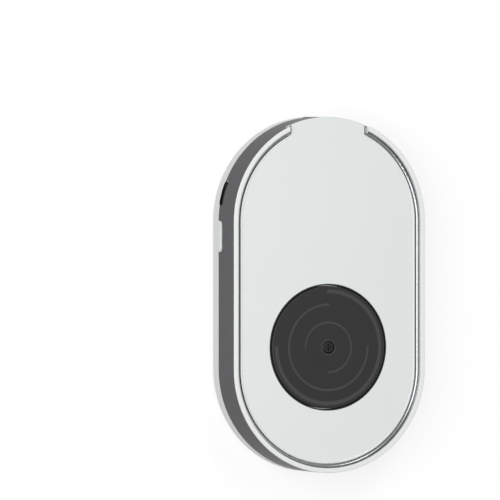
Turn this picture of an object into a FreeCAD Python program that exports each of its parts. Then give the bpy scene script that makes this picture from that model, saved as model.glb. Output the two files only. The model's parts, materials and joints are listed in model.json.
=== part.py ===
"""Mouse jiggler: a flat stadium-shaped housing with a motor-driven turntable in its top plate.

Frame: millimetres, +Z up. The origin is on the desk under the centre of the housing.
+Y points to the end with the power slide and the gap in the rim; +X is to the right of it.
"""
import FreeCAD, Part
import math
import os

V = FreeCAD.Vector
NEAR = 1e-4                   # lengths closer than this are the same

# ---- Housing: overall form -----------------------------------------------------------------------
BODY_WIDTH = 75.0
BODY_LENGTH = 128.5
FOOT_HEIGHT = 0.8             # how far the feet hold the rear cover off the desk
REAR_COVER_HEIGHT = 5.7
SIDE_BAND_HEIGHT = 14.3
RIM_EDGE_HEIGHT = 0.4         # strip of the rim that shows above the side band
WALL = 2.2
COVER_FLOOR = 1.8
COVER_EDGE_ROUND = 0.8
PARTING_CHAMFER = 0.15
COVER_RIB_WIDTH = 1.0
COVER_RIB_HEIGHT = 1.2
COVER_RIB_X = 10.5            # lengthwise ribs, each side of the middle
COVER_RIB_END_GAP = 8.0       # from their ends to the wall
COVER_CROSS_RIB_YS = (-38.0, 27.0)

# ---- Joint between rear cover and side frame -----------------------------------------------------
TONGUE_HEIGHT = 1.2
TONGUE_THICKNESS = 1.0
SHELL_CLEARANCE = 0.1

# ---- Front rim and top plate ---------------------------------------------------------------------
RIM_LIP_WIDTH = 1.7
RIM_EDGE_ROUND = 0.35
RIM_NEST_WALL = 0.9           # side frame wall beside the rim
RIM_SEAT_THICKNESS = 1.6
RIM_SEAT_WIDTH = 3.6          # how far the seat reaches in under the plate
RIM_GAP_WIDTH = 30.8          # gap in the rim at the +Y end
RIM_END_THICKNESS = 0.8       # rim wrapped over the ends of the side frame's wall
RIM_END_ROUND = 0.4           # upright corners beside that gap
PLATE_RECESS = 1.8            # plate surface below the rim
PLATE_THICKNESS = 1.6
GROOVE_WIDTH = 1.5            # between the rim's lip and the plate
GROOVE_DROP = 0.35            # groove floor below the plate surface
TRIM_THICKNESS = 0.25         # plated strip that lines the groove
TRIM_TOP_DROP = 0.85          # the strip's edge below the rim's top
TRIM_COVE = 0.75              # hollow between the strip's wall and its floor
TRIM_CLEARANCE = 0.05
PLATE_CLEARANCE = 0.35        # narrow joint between the plate's edge and the ledge
BEAD_WIDTH = 0.8              # low bead along the plate's edge
BEAD_HEIGHT = 0.1
BEAD_CREST = 0.35             # from the plate's edge to the bead's crest
BEAD_EDGE_DROP = 0.2          # where the bead's outer side ends, below the plate surface
TAB_EDGE_ROUND = 0.3
TAB_CLEARANCE = 1.1           # between the plate's tab and the ends of the rim
PLATE_RIB = 1.0               # width and height of the ribs under the plate
PLATE_RIB_SPACING = 12.0
PLATE_RIB_START = 16.0        # from the plate's middle to the first crosswise rib
PLATE_RIB_REACH = 27.0
PLATE_COLLAR_CLEARANCE = 0.2  # round the top of the turntable's well

# ---- Turntable -----------------------------------------------------------------------------------
DISC_CENTRE_Y = -18.9
HOLE_RADIUS = 22.9
HOLE_CHAMFER = 0.15
DISC_RADIUS = 22.1
DISC_THICKNESS = 2.4
DISC_PROUD = 0.3              # disc surface above the plate surface
DISC_EDGE_ROUND = 0.5
DISC_BEAD_WIDTH = 1.2
DISC_BEAD_HEIGHT = 0.2
DISC_HUB_RADIUS = 5.2
DISC_HUB_DEPTH = 1.4
GROOVE_DEPTH = 0.15
OUTER_ARC_RADIUS = 20.25
OUTER_ARC_WIDTH = 1.5
MIDDLE_ARC_RADIUS = 15.45
MIDDLE_ARC_WIDTH = 0.9
INNER_ARC_RADIUS = 9.0
INNER_ARC_WIDTH = 0.8
ARC_SWEEP = 270.0
CENTRE_RING_INNER = 2.4
CENTRE_RING_OUTER = 2.95
SCREW_RECESS_RADIUS = 2.35
SCREW_RECESS_DEPTH = 1.25
DISC_WEB = 0.8                # disc material clamped under the screw's head

# ---- Turntable well and its bearing --------------------------------------------------------------
LINER_WALL = 0.4
LINER_DROP = 0.1              # liner edge below the plate surface
LINER_CLEARANCE = 0.05
WELL_WALL = 1.9
WELL_FLOOR = 1.2
RING_THICKNESS = 0.8
RING_WIDTH = 2.4
RING_CLEARANCE = 0.1          # between the disc's bead and the ring, and round the ring
RING_STEP = 0.6
BEARING_BOSS_RADIUS = 6.4
BEARING_BOSS_DROP = 1.0
BUSH_WALL = 1.2
SPINDLE_RADIUS = 3.0
SPINDLE_DRIVE_FLATS = 5.0     # across the flats of the hexagon that drives the disc
RUNNING_CLEARANCE = 0.05
WELL_LUG_RADIUS = 3.0
WELL_LUG_OFFSET = 3.25        # lug centres outside the well's wall
WELL_LUG_COUNT = 3
WELL_LUG_START = 90.0         # direction of the first lug
WELL_POST_RADIUS = 2.6

# ---- Gears ---------------------------------------------------------------------------------------
PRESSURE_ANGLE = 25.0
OUTPUT_MODULE = 0.7
OUTPUT_TEETH = 49
PINION_TEETH = 14
WORM_MODULE = 0.75
WORM_WHEEL_TEETH = 20
WORM_PITCH_RADIUS = 2.8
WORM_LENGTH = 9.0
WORM_PHASE = 180.0            # turns the thread so that it meets a tooth gap of its wheel
THREAD_OVERLAP = 0.1          # thread sunk into the worm's core
BACKLASH = 0.12
ADDENDUM = 0.95
DEDENDUM = 1.25
OUTPUT_FACE = 2.4
WHEEL_FACE = 3.0
PINION_REACH = 0.2            # pinion past each face of the output gear
GEAR_GAP = 0.4                # between a gear and the next thing above or below it
OUTPUT_WEB = 1.2
OUTPUT_RIM = 2.0
OUTPUT_HUB_RADIUS = 5.0
OUTPUT_HOLE_COUNT = 6
OUTPUT_HOLE_RADIUS = 2.6
AXLE_RADIUS = 1.0
AXLE_FOOT = 1.2               # how far the axle and spindle go down into their bosses
AXLE_BOSS_RADIUS = 2.4
SPINDLE_TIP_RADIUS = 1.5

# ---- Motor ---------------------------------------------------------------------------------------
MOTOR_WIDTH = 12.0
MOTOR_HEIGHT = 10.0
MOTOR_LENGTH = 15.0
MOTOR_LIFT = 0.4              # motor above the cover's floor, on two pads
MOTOR_PAD_WIDTH = 8.0
MOTOR_PAD_LENGTH = 2.0
MOTOR_PAD_MARGIN = 2.0        # from each end of the motor to its pad
MOTOR_GAP = 1.8               # from the worm's end to the motor, at least
MOTOR_WHEEL_GAP = 0.5         # between the motor's corner and the worm wheel's teeth
MOTOR_NOSE_RADIUS = 2.0
MOTOR_NOSE_LENGTH = 0.8
MOTOR_CAP_LENGTH = 2.0
MOTOR_SHAFT_RADIUS = 0.75
TERMINAL_WIDTH = 1.6
TERMINAL_THICKNESS = 0.3
TERMINAL_LENGTH = 2.2
TERMINAL_SPACING = 6.0
SHAFT_END_REACH = 3.0         # shaft past the worm, into its end bearing
END_BEARING_THICKNESS = 2.0
END_BEARING_WIDTH = 5.0
CLAMP_WIDTH = 6.0
CLAMP_THICKNESS = 0.8
CLAMP_ROUND = 0.7
CLAMP_FOOT = 4.6
CLAMP_POST_RADIUS = 2.0
CLAMP_WALL_GAP = 1.6          # from the clamp's foot to the housing's wall

# ---- Fasteners -----------------------------------------------------------------------------------
COVER_SCREW_RADIUS = 1.25
COVER_SCREW_HEAD_RADIUS = 2.2
COVER_SCREW_HEAD_HEIGHT = 1.4
COVER_SCREW_LENGTH = 12.0
COVER_POST_RADIUS = 3.2
COVER_POST_SINK = 0.9         # post's side sunk into the wall
COVER_POST_ANGLE = 52.0       # post centres round the centres of the round ends
COVER_BOSS_HEIGHT = 5.3       # bosses above the cover's floor
SMALL_SCREW_RADIUS = 0.9
SMALL_SCREW_HEAD_RADIUS = 1.7
SMALL_SCREW_HEAD_HEIGHT = 1.1
SMALL_SCREW_LENGTH = 5.0
DISC_SCREW_RADIUS = 1.0
DISC_SCREW_HEAD_RADIUS = 2.1
DISC_SCREW_HEAD_HEIGHT = 1.0
DISC_SCREW_LENGTH = 6.0
CROSS_SLOT_WIDTH = 0.5
CROSS_SLOT_REACH_SHARE = 0.62    # of the head's radius
CROSS_SLOT_DEPTH_SHARE = 0.6     # of the head's height
HEAD_ROUND_SHARE = 0.35          # of the head's height
SCREW_HOLE_CLEARANCE = 0.2

# ---- Feet ----------------------------------------------------------------------------------------
FOOT_RADIUS = 4.5
FOOT_SEAT_DEPTH = 0.5
FOOT_INSET = 12.0             # foot centres in from the long sides
FOOT_END_REACH = 13.25        # foot centres past the centres of the round ends
FOOT_EDGE_ROUND = 0.3

# ---- Circuit board -------------------------------------------------------------------------------
BOARD_THICKNESS = 1.2
BOARD_INSET = 4.2             # board edge in from the housing's outside
BOARD_LOWER_Y = 13.2
BOARD_MOTOR_CLEARANCE = 2.0
BOARD_POST_RADIUS = 2.2
BOARD_POST_CLEARANCE = 0.6
BOARD_SCREW_POINTS = ((-22.0, 18.5), (-6.0, 47.5), (24.0, 34.0))
CHIP_SIZE = (7.0, 7.0, 1.2)
CHIP_POINT = (6.0, 40.0)
CAPACITORS = ((-8.0, 32.0, 2.0, 5.0), (-15.0, 42.0, 1.5, 4.0))    # x, y, radius, height
CHIP_RESISTOR = (2.0, 1.2, 0.7)
CHIP_RESISTOR_OFFSETS = ((7.0, 2.0), (7.0, -2.0), (-7.0, 2.0), (-7.0, -2.0))
LEAD_SOCKET_SIZE = (6.0, 4.5, 4.0)
LEAD_SOCKET_POINT = (5.0, 30.5)
LEAD_RADIUS = 0.5
LEAD_SPACING = 2.0            # between the two leads at the socket
LEAD_ARC_SHARE = 0.45         # of the shorter run beside a bend

# ---- USB-C socket --------------------------------------------------------------------------------
USB_Y = 36.8
USB_WIDTH = 8.94
USB_HEIGHT = 3.26
USB_DEPTH = 7.3
USB_SHELL_WALL = 0.3
USB_SETBACK = 0.2             # socket mouth behind the wall's deepest outside point
USB_OPENING_CLEARANCE = 0.22
USB_TONGUE_WIDTH = 6.7
USB_TONGUE_THICKNESS = 0.7
USB_TONGUE_DEPTH = 5.2
USB_TONGUE_CORNER = 0.2

# ---- Side button ---------------------------------------------------------------------------------
BUTTON_Y = 21.2
BUTTON_LENGTH = 11.4
BUTTON_HEIGHT = 3.8
BUTTON_PROUD = 0.7
BUTTON_CORNER = 1.6
BUTTON_RISE = 1.95            # button centre above the board
BUTTON_CLEARANCE = 0.15
BUTTON_FLANGE = 0.9           # how far the inner flange is larger than the opening
BUTTON_FLANGE_THICKNESS = 0.8
BUTTON_TRAVEL = 0.5
BUTTON_EDGE_ROUND = 0.5
PLUNGER_RADIUS = 0.9
PLUNGER_LENGTH = 2.4
BUTTON_SWITCH_SIZE = (3.6, 6.0, 3.5)

# ---- Power slide ---------------------------------------------------------------------------------
SLIDE_TRAVEL = 4.0
KNOB_LENGTH = 4.6
KNOB_HEIGHT = 2.8
KNOB_PROUD = 0.05
KNOB_CLEARANCE = 0.2
KNOB_END_GAP = 0.4            # slot past the knob at each end of its travel
KNOB_RIB_COUNT = 5
KNOB_RIB_DEPTH = 0.3
KNOB_GROOVE_WIDTH = 0.4
KNOB_FLANGE_REACH = 2.6       # flange past the slot's end in the middle position
KNOB_FLANGE_LIP = 0.9         # flange past the slot's long edges
KNOB_FLANGE_THICKNESS = 0.8
SLIDE_SWITCH_SIZE = (9.0, 3.4, 3.2)
SLIDE_LEVER_WIDTH = 1.4
SLIDE_LEVER_HEIGHT = 1.2
SLIDE_LEVER_LENGTH = 1.2      # between the knob's flange and the switch
SLIDE_LEVER_DEPTH = 1.0       # inside the switch

# ---- Derived levels and places -------------------------------------------------------------------
END_ARC_Y = (BODY_LENGTH - BODY_WIDTH) / 2
SHELL_BOTTOM = FOOT_HEIGHT
FLOOR_TOP = SHELL_BOTTOM + COVER_FLOOR
PARTING_Z = SHELL_BOTTOM + REAR_COVER_HEIGHT
BAND_TOP = PARTING_Z + SIDE_BAND_HEIGHT
RIM_TOP = BAND_TOP + RIM_EDGE_HEIGHT
PLATE_TOP = RIM_TOP - PLATE_RECESS
PLATE_BOTTOM = PLATE_TOP - PLATE_THICKNESS
GROOVE_FLOOR = PLATE_TOP - GROOVE_DROP
LEDGE_TOP = GROOVE_FLOOR - TRIM_THICKNESS
SEAT_BOTTOM = PLATE_BOTTOM - RIM_SEAT_THICKNESS
PLATE_INSET = RIM_LIP_WIDTH + GROOVE_WIDTH

DISC_TOP = PLATE_TOP + DISC_PROUD
DISC_BOTTOM = DISC_TOP - DISC_THICKNESS
SCREW_SEAT = DISC_TOP - SCREW_RECESS_DEPTH
DRIVE_TOP = SCREW_SEAT - DISC_WEB
RING_TOP = DISC_BOTTOM - DISC_BEAD_HEIGHT - RING_CLEARANCE
RING_BOTTOM = RING_TOP - RING_THICKNESS
WELL_FLOOR_TOP = RING_BOTTOM - RING_STEP
WELL_FLOOR_BOTTOM = WELL_FLOOR_TOP - WELL_FLOOR
LINER_OUTER = HOLE_RADIUS - LINER_CLEARANCE
LINER_INNER = LINER_OUTER - LINER_WALL
WELL_OUTER = LINER_INNER + WELL_WALL
WELL_LUG_REACH = WELL_OUTER + WELL_LUG_OFFSET
BOSS_BOTTOM = WELL_FLOOR_BOTTOM - BEARING_BOSS_DROP
BUSH_OUTER = SPINDLE_RADIUS + RUNNING_CLEARANCE + BUSH_WALL

OUTPUT_TOP = BOSS_BOTTOM - GEAR_GAP
OUTPUT_BOTTOM = OUTPUT_TOP - OUTPUT_FACE
OUTPUT_PITCH_RADIUS = OUTPUT_MODULE * OUTPUT_TEETH / 2
PINION_PITCH_RADIUS = OUTPUT_MODULE * PINION_TEETH / 2
TRAIN_DISTANCE = OUTPUT_PITCH_RADIUS + PINION_PITCH_RADIUS
WHEEL_PITCH_RADIUS = WORM_MODULE * WORM_WHEEL_TEETH / 2
CLAMP_HALF = MOTOR_WIDTH / 2 + CLAMP_THICKNESS + CLAMP_FOOT
WORM_X = BODY_WIDTH / 2 - WALL - CLAMP_WALL_GAP - CLAMP_HALF
COMPOUND_X = WORM_X - WHEEL_PITCH_RADIUS - WORM_PITCH_RADIUS
TRAIN_ANGLE = math.degrees(math.acos(COMPOUND_X / TRAIN_DISTANCE))
COMPOUND_Y = DISC_CENTRE_Y + TRAIN_DISTANCE * math.sin(math.radians(TRAIN_ANGLE))
WORM_Y = COMPOUND_Y
MOTOR_Z = FLOOR_TOP + MOTOR_LIFT + MOTOR_HEIGHT / 2
WHEEL_TOP = MOTOR_Z + WHEEL_FACE / 2
WHEEL_BOTTOM = MOTOR_Z - WHEEL_FACE / 2
PINION_TOP = OUTPUT_TOP + PINION_REACH
WHEEL_REACH = WHEEL_PITCH_RADIUS + ADDENDUM * WORM_MODULE + MOTOR_WHEEL_GAP
MOTOR_ASIDE = WORM_X - MOTOR_WIDTH / 2 - COMPOUND_X
MOTOR_PAST_WHEEL = math.sqrt(max(WHEEL_REACH ** 2 - max(MOTOR_ASIDE, 0) ** 2, 0))
MOTOR_FRONT = WORM_Y + max(WORM_LENGTH / 2 + MOTOR_GAP, MOTOR_PAST_WHEEL)
MOTOR_BACK = MOTOR_FRONT + MOTOR_LENGTH
CLAMP_Y = MOTOR_FRONT + MOTOR_LENGTH / 2
CLAMP_SCREW_X = MOTOR_WIDTH / 2 + CLAMP_THICKNESS + CLAMP_FOOT / 2

USB_X = -math.sqrt((BODY_WIDTH / 2) ** 2 - (USB_Y + USB_WIDTH / 2 - END_ARC_Y) ** 2) + USB_SETBACK
USB_Z = PARTING_Z + 1.0
BOARD_TOP = USB_Z - USB_HEIGHT / 2
BOARD_BOTTOM = BOARD_TOP - BOARD_THICKNESS
BUTTON_Z = BOARD_TOP + BUTTON_RISE
BUTTON_FACE_X = -BODY_WIDTH / 2 - BUTTON_PROUD
BUTTON_FLANGE_X = -BODY_WIDTH / 2 + WALL + SHELL_CLEARANCE
PLUNGER_X = BUTTON_FLANGE_X + BUTTON_FLANGE_THICKNESS
BUTTON_SWITCH_X = PLUNGER_X + BUTTON_TRAVEL + SHELL_CLEARANCE
BOARD_SCREW_LENGTH = BOARD_TOP - FLOOR_TOP
SLIDE_Z = USB_Z
SLOT_LENGTH = KNOB_LENGTH + SLIDE_TRAVEL + 2 * KNOB_END_GAP
SLOT_HEIGHT = KNOB_HEIGHT + 2 * KNOB_CLEARANCE
KNOB_OFF_X = -SLIDE_TRAVEL / 2
KNOB_FLANGE_HALF = SLOT_LENGTH / 2 + KNOB_FLANGE_REACH
KNOB_FLANGE_REACH_X = KNOB_FLANGE_HALF + SLIDE_TRAVEL / 2
KNOB_WALL_Y = END_ARC_Y + math.sqrt((BODY_WIDTH / 2 - WALL) ** 2 - KNOB_FLANGE_REACH_X ** 2)
KNOB_FLANGE_Y = KNOB_WALL_Y - SHELL_CLEARANCE - KNOB_FLANGE_THICKNESS
SLIDE_SWITCH_Y = KNOB_FLANGE_Y - SLIDE_LEVER_LENGTH


# ---- Plain shapes --------------------------------------------------------------------------------
def box(x0, x1, y0, y1, z0, z1):
    """Block between two corners."""
    return Part.makeBox(x1 - x0, y1 - y0, z1 - z0, V(x0, y0, z0))


def rod(x, y, z0, z1, radius):
    """Upright cylinder."""
    return Part.makeCylinder(radius, z1 - z0, V(x, y, z0))


def rod_y(x, z, y0, y1, radius):
    """Cylinder along +Y."""
    return Part.makeCylinder(radius, y1 - y0, V(x, y0, z), V(0, 1, 0))


def rod_x(y, z, x0, x1, radius):
    """Cylinder along +X."""
    return Part.makeCylinder(radius, x1 - x0, V(x0, y, z), V(1, 0, 0))


def tube(x, y, z0, z1, outer, inner):
    """Upright pipe."""
    return rod(x, y, z0, z1, outer).cut(rod(x, y, z0, z1, inner))


def stadium(inset, z0, z1):
    """Prism on the housing's outline, moved in by inset."""
    radius = BODY_WIDTH / 2 - inset
    right_low = V(radius, -END_ARC_Y, z0)
    right_high = V(radius, END_ARC_Y, z0)
    left_high = V(-radius, END_ARC_Y, z0)
    left_low = V(-radius, -END_ARC_Y, z0)
    edges = [
        Part.LineSegment(right_low, right_high).toShape(),
        Part.Arc(right_high, V(0, END_ARC_Y + radius, z0), left_high).toShape(),
        Part.LineSegment(left_high, left_low).toShape(),
        Part.Arc(left_low, V(0, -END_ARC_Y - radius, z0), right_low).toShape(),
    ]
    return Part.Face(Part.Wire(edges)).extrude(V(0, 0, z1 - z0))


def band(outer_inset, inner_inset, z0, z1):
    """Closed strip between two insets of the housing's outline."""
    return stadium(outer_inset, z0, z1).cut(stadium(inner_inset, z0, z1))


def outline_ring(profile):
    """Ring round the housing's outline from a profile that stands on its straight +X side.

    The profile is a closed wire in the plane y = -END_ARC_Y, where END_ARC_Y is the start of the end arcs.
    """
    face = Part.Face(profile)
    right = face.extrude(V(0, 2 * END_ARC_Y, 0))
    high_face = face.copy()
    high_face.translate(V(0, 2 * END_ARC_Y, 0))
    high_end = high_face.revolve(V(0, END_ARC_Y, 0), V(0, 0, 1), 180)
    far_half = [turned_to(right, 0, 0, 180), turned_to(high_end, 0, 0, 180)]
    return fuse([right, high_end] + far_half)


def at_inset(inset, z):
    """Point of a ring's profile, at a distance in from the outline."""
    return V(BODY_WIDTH / 2 - inset, -END_ARC_Y, z)


def rounded_bar(length, height, corner, depth):
    """Bar along +Z with a rounded rectangle section, centred on the Z axis."""
    bar = Part.makeBox(length, height, depth, V(-length / 2, -height / 2, 0))
    uprights = [e for e in bar.Edges if abs(e.tangentAt(e.FirstParameter).z) > 0.99]
    return bar.makeFillet(min(corner, 0.499 * height), uprights)


def through_side(shape, y, z, x0):
    """Turn a bar along +Z to run along +X from x0, its length along Y and its height along Z."""
    turned = shape.copy()
    turned.rotate(V(0, 0, 0), V(1, 1, 1), 120)
    turned.translate(V(x0, y, z))
    return turned


def through_end(shape, x, z, y0):
    """Turn a bar along +Z to run along +Y from y0, its length along X and its height along Z."""
    turned = shape.copy()
    turned.rotate(V(0, 0, 0), V(1, 0, 0), -90)
    turned.translate(V(x, y0, z))
    return turned


def fuse(shapes):
    """Join shapes into one clean solid."""
    return shapes[0].fuse(shapes[1:]).removeSplitter()


def cut(shape, tools):
    """Take every tool out of a shape."""
    return shape.cut(tools).removeSplitter()


def group(solids):
    """Several separate solids in one node."""
    return Part.makeCompound(solids)


def round_edges(shape, radius, wanted):
    """Fillet the edges that wanted picks."""
    return shape.makeFillet(radius, [e for e in shape.Edges if wanted(e)])


def bevel_edges(shape, size, wanted):
    """Chamfer the edges that wanted picks."""
    return shape.makeChamfer(size, [e for e in shape.Edges if wanted(e)])


def lies_at(edge, z):
    """True for an edge that lies flat at height z."""
    return abs(edge.BoundBox.ZMin - z) < NEAR and abs(edge.BoundBox.ZMax - z) < NEAR


def follows_outline(edge, inset):
    """True for an edge that runs along the housing's outline, moved in by inset."""
    middle = edge.valueAt((edge.FirstParameter + edge.LastParameter) / 2)
    reach = math.hypot(middle.x, max(abs(middle.y) - END_ARC_Y, 0))
    return abs(reach - BODY_WIDTH / 2 + inset) < NEAR


def moved(shape, x, y, z):
    """Copy of a shape at a place."""
    placed = shape.copy()
    placed.translate(V(x, y, z))
    return placed


def turned_to(shape, x, y, degrees):
    """Turn a shape about the upright line through (x, y)."""
    turned = shape.copy()
    turned.rotate(V(x, y, 0), V(0, 0, 1), degrees)
    return turned


# ---- Places that several pieces share ------------------------------------------------------------
def cover_screw_points():
    """The four cover screws, two at each round end."""
    reach = BODY_WIDTH / 2 - WALL - COVER_POST_RADIUS + COVER_POST_SINK
    across = reach * math.cos(math.radians(COVER_POST_ANGLE))
    along = END_ARC_Y + reach * math.sin(math.radians(COVER_POST_ANGLE))
    return [(sx * across, sy * along) for sx in (-1, 1) for sy in (-1, 1)]


def foot_points():
    """The four feet."""
    x = BODY_WIDTH / 2 - FOOT_INSET
    y = END_ARC_Y + FOOT_END_REACH
    return [(sx * x, sy * y) for sx in (-1, 1) for sy in (-1, 1)]


def well_screw_points():
    """The lugs round the turntable's well."""
    steps = [math.radians(WELL_LUG_START + 360 * i / WELL_LUG_COUNT) for i in range(WELL_LUG_COUNT)]
    return [(WELL_LUG_REACH * math.cos(a), DISC_CENTRE_Y + WELL_LUG_REACH * math.sin(a)) for a in steps]


def clamp_screw_points():
    """The two screws of the motor clamp."""
    return [(WORM_X + side * CLAMP_SCREW_X, CLAMP_Y) for side in (-1, 1)]


def wall_depth(offset):
    """Depth, from the outermost point of the outline, at which a round end's wall is cut through."""
    return BODY_WIDTH / 2 - math.sqrt((BODY_WIDTH / 2 - WALL) ** 2 - max(offset, 0) ** 2)


def wall_openings():
    """Openings for the USB-C socket, the side button and the power knob, through both shells."""
    usb_length = USB_WIDTH + 2 * USB_OPENING_CLEARANCE
    usb_height = USB_HEIGHT + 2 * USB_OPENING_CLEARANCE
    usb_depth = WALL + wall_depth(USB_Y + usb_length / 2 - END_ARC_Y)
    usb = rounded_bar(usb_length, usb_height, usb_height / 2, usb_depth)
    button_length = BUTTON_LENGTH + 2 * BUTTON_CLEARANCE
    button_height = BUTTON_HEIGHT + 2 * BUTTON_CLEARANCE
    button_depth = WALL + wall_depth(BUTTON_Y + button_length / 2 - END_ARC_Y)
    button = rounded_bar(button_length, button_height, BUTTON_CORNER + BUTTON_CLEARANCE, button_depth)
    slide_depth = WALL + wall_depth(SLOT_LENGTH / 2)
    slide = rounded_bar(SLOT_LENGTH, SLOT_HEIGHT, KNOB_CLEARANCE, slide_depth)
    outside = -BODY_WIDTH / 2 - WALL
    return [
        through_side(usb, USB_Y, USB_Z, outside),
        through_side(button, BUTTON_Y, BUTTON_Z, outside),
        through_end(slide, 0, SLIDE_Z, BODY_LENGTH / 2 + WALL - slide_depth),
    ]


# ---- Housing -------------------------------------------------------------------------------------
def cover_posts_and_bosses():
    """Everything that stands on the rear cover's floor."""
    boss_top = FLOOR_TOP + COVER_BOSS_HEIGHT
    room = stadium(WALL / 2, FLOOR_TOP, boss_top)
    pieces = [rod(x, y, FLOOR_TOP, boss_top, COVER_POST_RADIUS).common(room) for x, y in cover_screw_points()]
    for x, y in well_screw_points():
        pieces.append(rod(x, y, FLOOR_TOP, WELL_FLOOR_BOTTOM, WELL_POST_RADIUS))
    for x, y in BOARD_SCREW_POINTS:
        pieces.append(rod(x, y, FLOOR_TOP, BOARD_BOTTOM, BOARD_POST_RADIUS))
    for x, y in clamp_screw_points():
        pieces.append(rod(x, y, FLOOR_TOP, MOTOR_Z, CLAMP_POST_RADIUS))
    pieces.append(rod(COMPOUND_X, COMPOUND_Y, FLOOR_TOP, WHEEL_BOTTOM - GEAR_GAP, AXLE_BOSS_RADIUS))
    pieces.append(rod(0, DISC_CENTRE_Y, FLOOR_TOP, OUTPUT_BOTTOM - GEAR_GAP, OUTPUT_HUB_RADIUS))
    half_pad = MOTOR_PAD_WIDTH / 2
    for y in (MOTOR_FRONT + MOTOR_PAD_MARGIN, MOTOR_BACK - MOTOR_PAD_MARGIN - MOTOR_PAD_LENGTH):
        pieces.append(box(WORM_X - half_pad, WORM_X + half_pad, y, y + MOTOR_PAD_LENGTH,
                          FLOOR_TOP, FLOOR_TOP + MOTOR_LIFT))
    bearing_y = WORM_Y - WORM_LENGTH / 2 - SHAFT_END_REACH
    pieces.append(box(WORM_X - END_BEARING_WIDTH / 2, WORM_X + END_BEARING_WIDTH / 2, bearing_y,
                      bearing_y + END_BEARING_THICKNESS, FLOOR_TOP, MOTOR_Z + END_BEARING_WIDTH / 2))
    return pieces


def cover_ribs():
    """Stiffening ribs on the rear cover's floor."""
    top = FLOOR_TOP + COVER_RIB_HEIGHT
    half = COVER_RIB_WIDTH / 2
    reach = BODY_LENGTH / 2 - WALL - COVER_RIB_END_GAP
    inside = stadium(WALL, FLOOR_TOP, top)
    lengthwise = [box(x - half, x + half, -reach, reach, FLOOR_TOP, top) for x in (-COVER_RIB_X, COVER_RIB_X)]
    crosswise = [box(-BODY_WIDTH, BODY_WIDTH, y - half, y + half, FLOOR_TOP, top) for y in COVER_CROSS_RIB_YS]
    return [rib.common(inside) for rib in lengthwise + crosswise]


def make_rear_cover():
    """Lower shell: a shallow tray with a rebate for the side frame's tongue."""
    tray = stadium(0, SHELL_BOTTOM, PARTING_Z).cut(stadium(WALL, FLOOR_TOP, PARTING_Z))
    tray = round_edges(tray, COVER_EDGE_ROUND, lambda e: lies_at(e, SHELL_BOTTOM))
    tray = bevel_edges(tray, PARTING_CHAMFER, lambda e: lies_at(e, PARTING_Z) and follows_outline(e, 0))
    tray = fuse([tray] + cover_ribs() + cover_posts_and_bosses())
    boss_top = FLOOR_TOP + COVER_BOSS_HEIGHT
    rebate_bottom = PARTING_Z - TONGUE_HEIGHT - SHELL_CLEARANCE
    rebate_outer = WALL - TONGUE_THICKNESS - SHELL_CLEARANCE
    tools = wall_openings()
    tools.append(band(rebate_outer, WALL + SHELL_CLEARANCE, rebate_bottom, boss_top))
    for x, y in cover_screw_points():
        tools.append(rod(x, y, SHELL_BOTTOM, SHELL_BOTTOM + COVER_SCREW_HEAD_HEIGHT + SCREW_HOLE_CLEARANCE,
                         COVER_SCREW_HEAD_RADIUS + SCREW_HOLE_CLEARANCE))
        tools.append(rod(x, y, SHELL_BOTTOM, boss_top, COVER_SCREW_RADIUS + SCREW_HOLE_CLEARANCE))
    for x, y in foot_points():
        tools.append(rod(x, y, SHELL_BOTTOM, SHELL_BOTTOM + FOOT_SEAT_DEPTH, FOOT_RADIUS))
    for x, y in well_screw_points():
        depth = SMALL_SCREW_LENGTH - WELL_FLOOR
        tools.append(rod(x, y, WELL_FLOOR_BOTTOM - depth, WELL_FLOOR_BOTTOM, SMALL_SCREW_RADIUS))
    for x, y in BOARD_SCREW_POINTS:
        tools.append(rod(x, y, BOARD_TOP - BOARD_SCREW_LENGTH, BOARD_BOTTOM, SMALL_SCREW_RADIUS))
    for x, y in clamp_screw_points():
        depth = SMALL_SCREW_LENGTH - CLAMP_THICKNESS
        tools.append(rod(x, y, MOTOR_Z - depth, MOTOR_Z, SMALL_SCREW_RADIUS))
    axle_boss_top = WHEEL_BOTTOM - GEAR_GAP
    tools.append(rod(COMPOUND_X, COMPOUND_Y, axle_boss_top - AXLE_FOOT, axle_boss_top, AXLE_RADIUS))
    spindle_boss_top = OUTPUT_BOTTOM - GEAR_GAP
    tools.append(rod(0, DISC_CENTRE_Y, spindle_boss_top - AXLE_FOOT - RUNNING_CLEARANCE, spindle_boss_top,
                     SPINDLE_TIP_RADIUS + RUNNING_CLEARANCE))
    tools.append(rod_y(WORM_X, MOTOR_Z, WORM_Y - WORM_LENGTH, WORM_Y, MOTOR_SHAFT_RADIUS + RUNNING_CLEARANCE))
    return cut(tray, tools)


def rim_gap(clearance, z0, z1):
    """Block that opens the rim at the +Y end, narrower by the clearance at each side."""
    half = RIM_GAP_WIDTH / 2 - clearance
    return box(-half, half, END_ARC_Y, BODY_LENGTH, z0, z1)


def is_gap_corner(edge):
    """True for an upright edge beside the rim's gap that reaches the rim's top."""
    bounds = edge.BoundBox
    upright = bounds.XLength < NEAR and bounds.YLength < NEAR
    return upright and abs(abs(bounds.XMin) - RIM_GAP_WIDTH / 2) < NEAR and abs(bounds.ZMax - RIM_TOP) < NEAR


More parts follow.
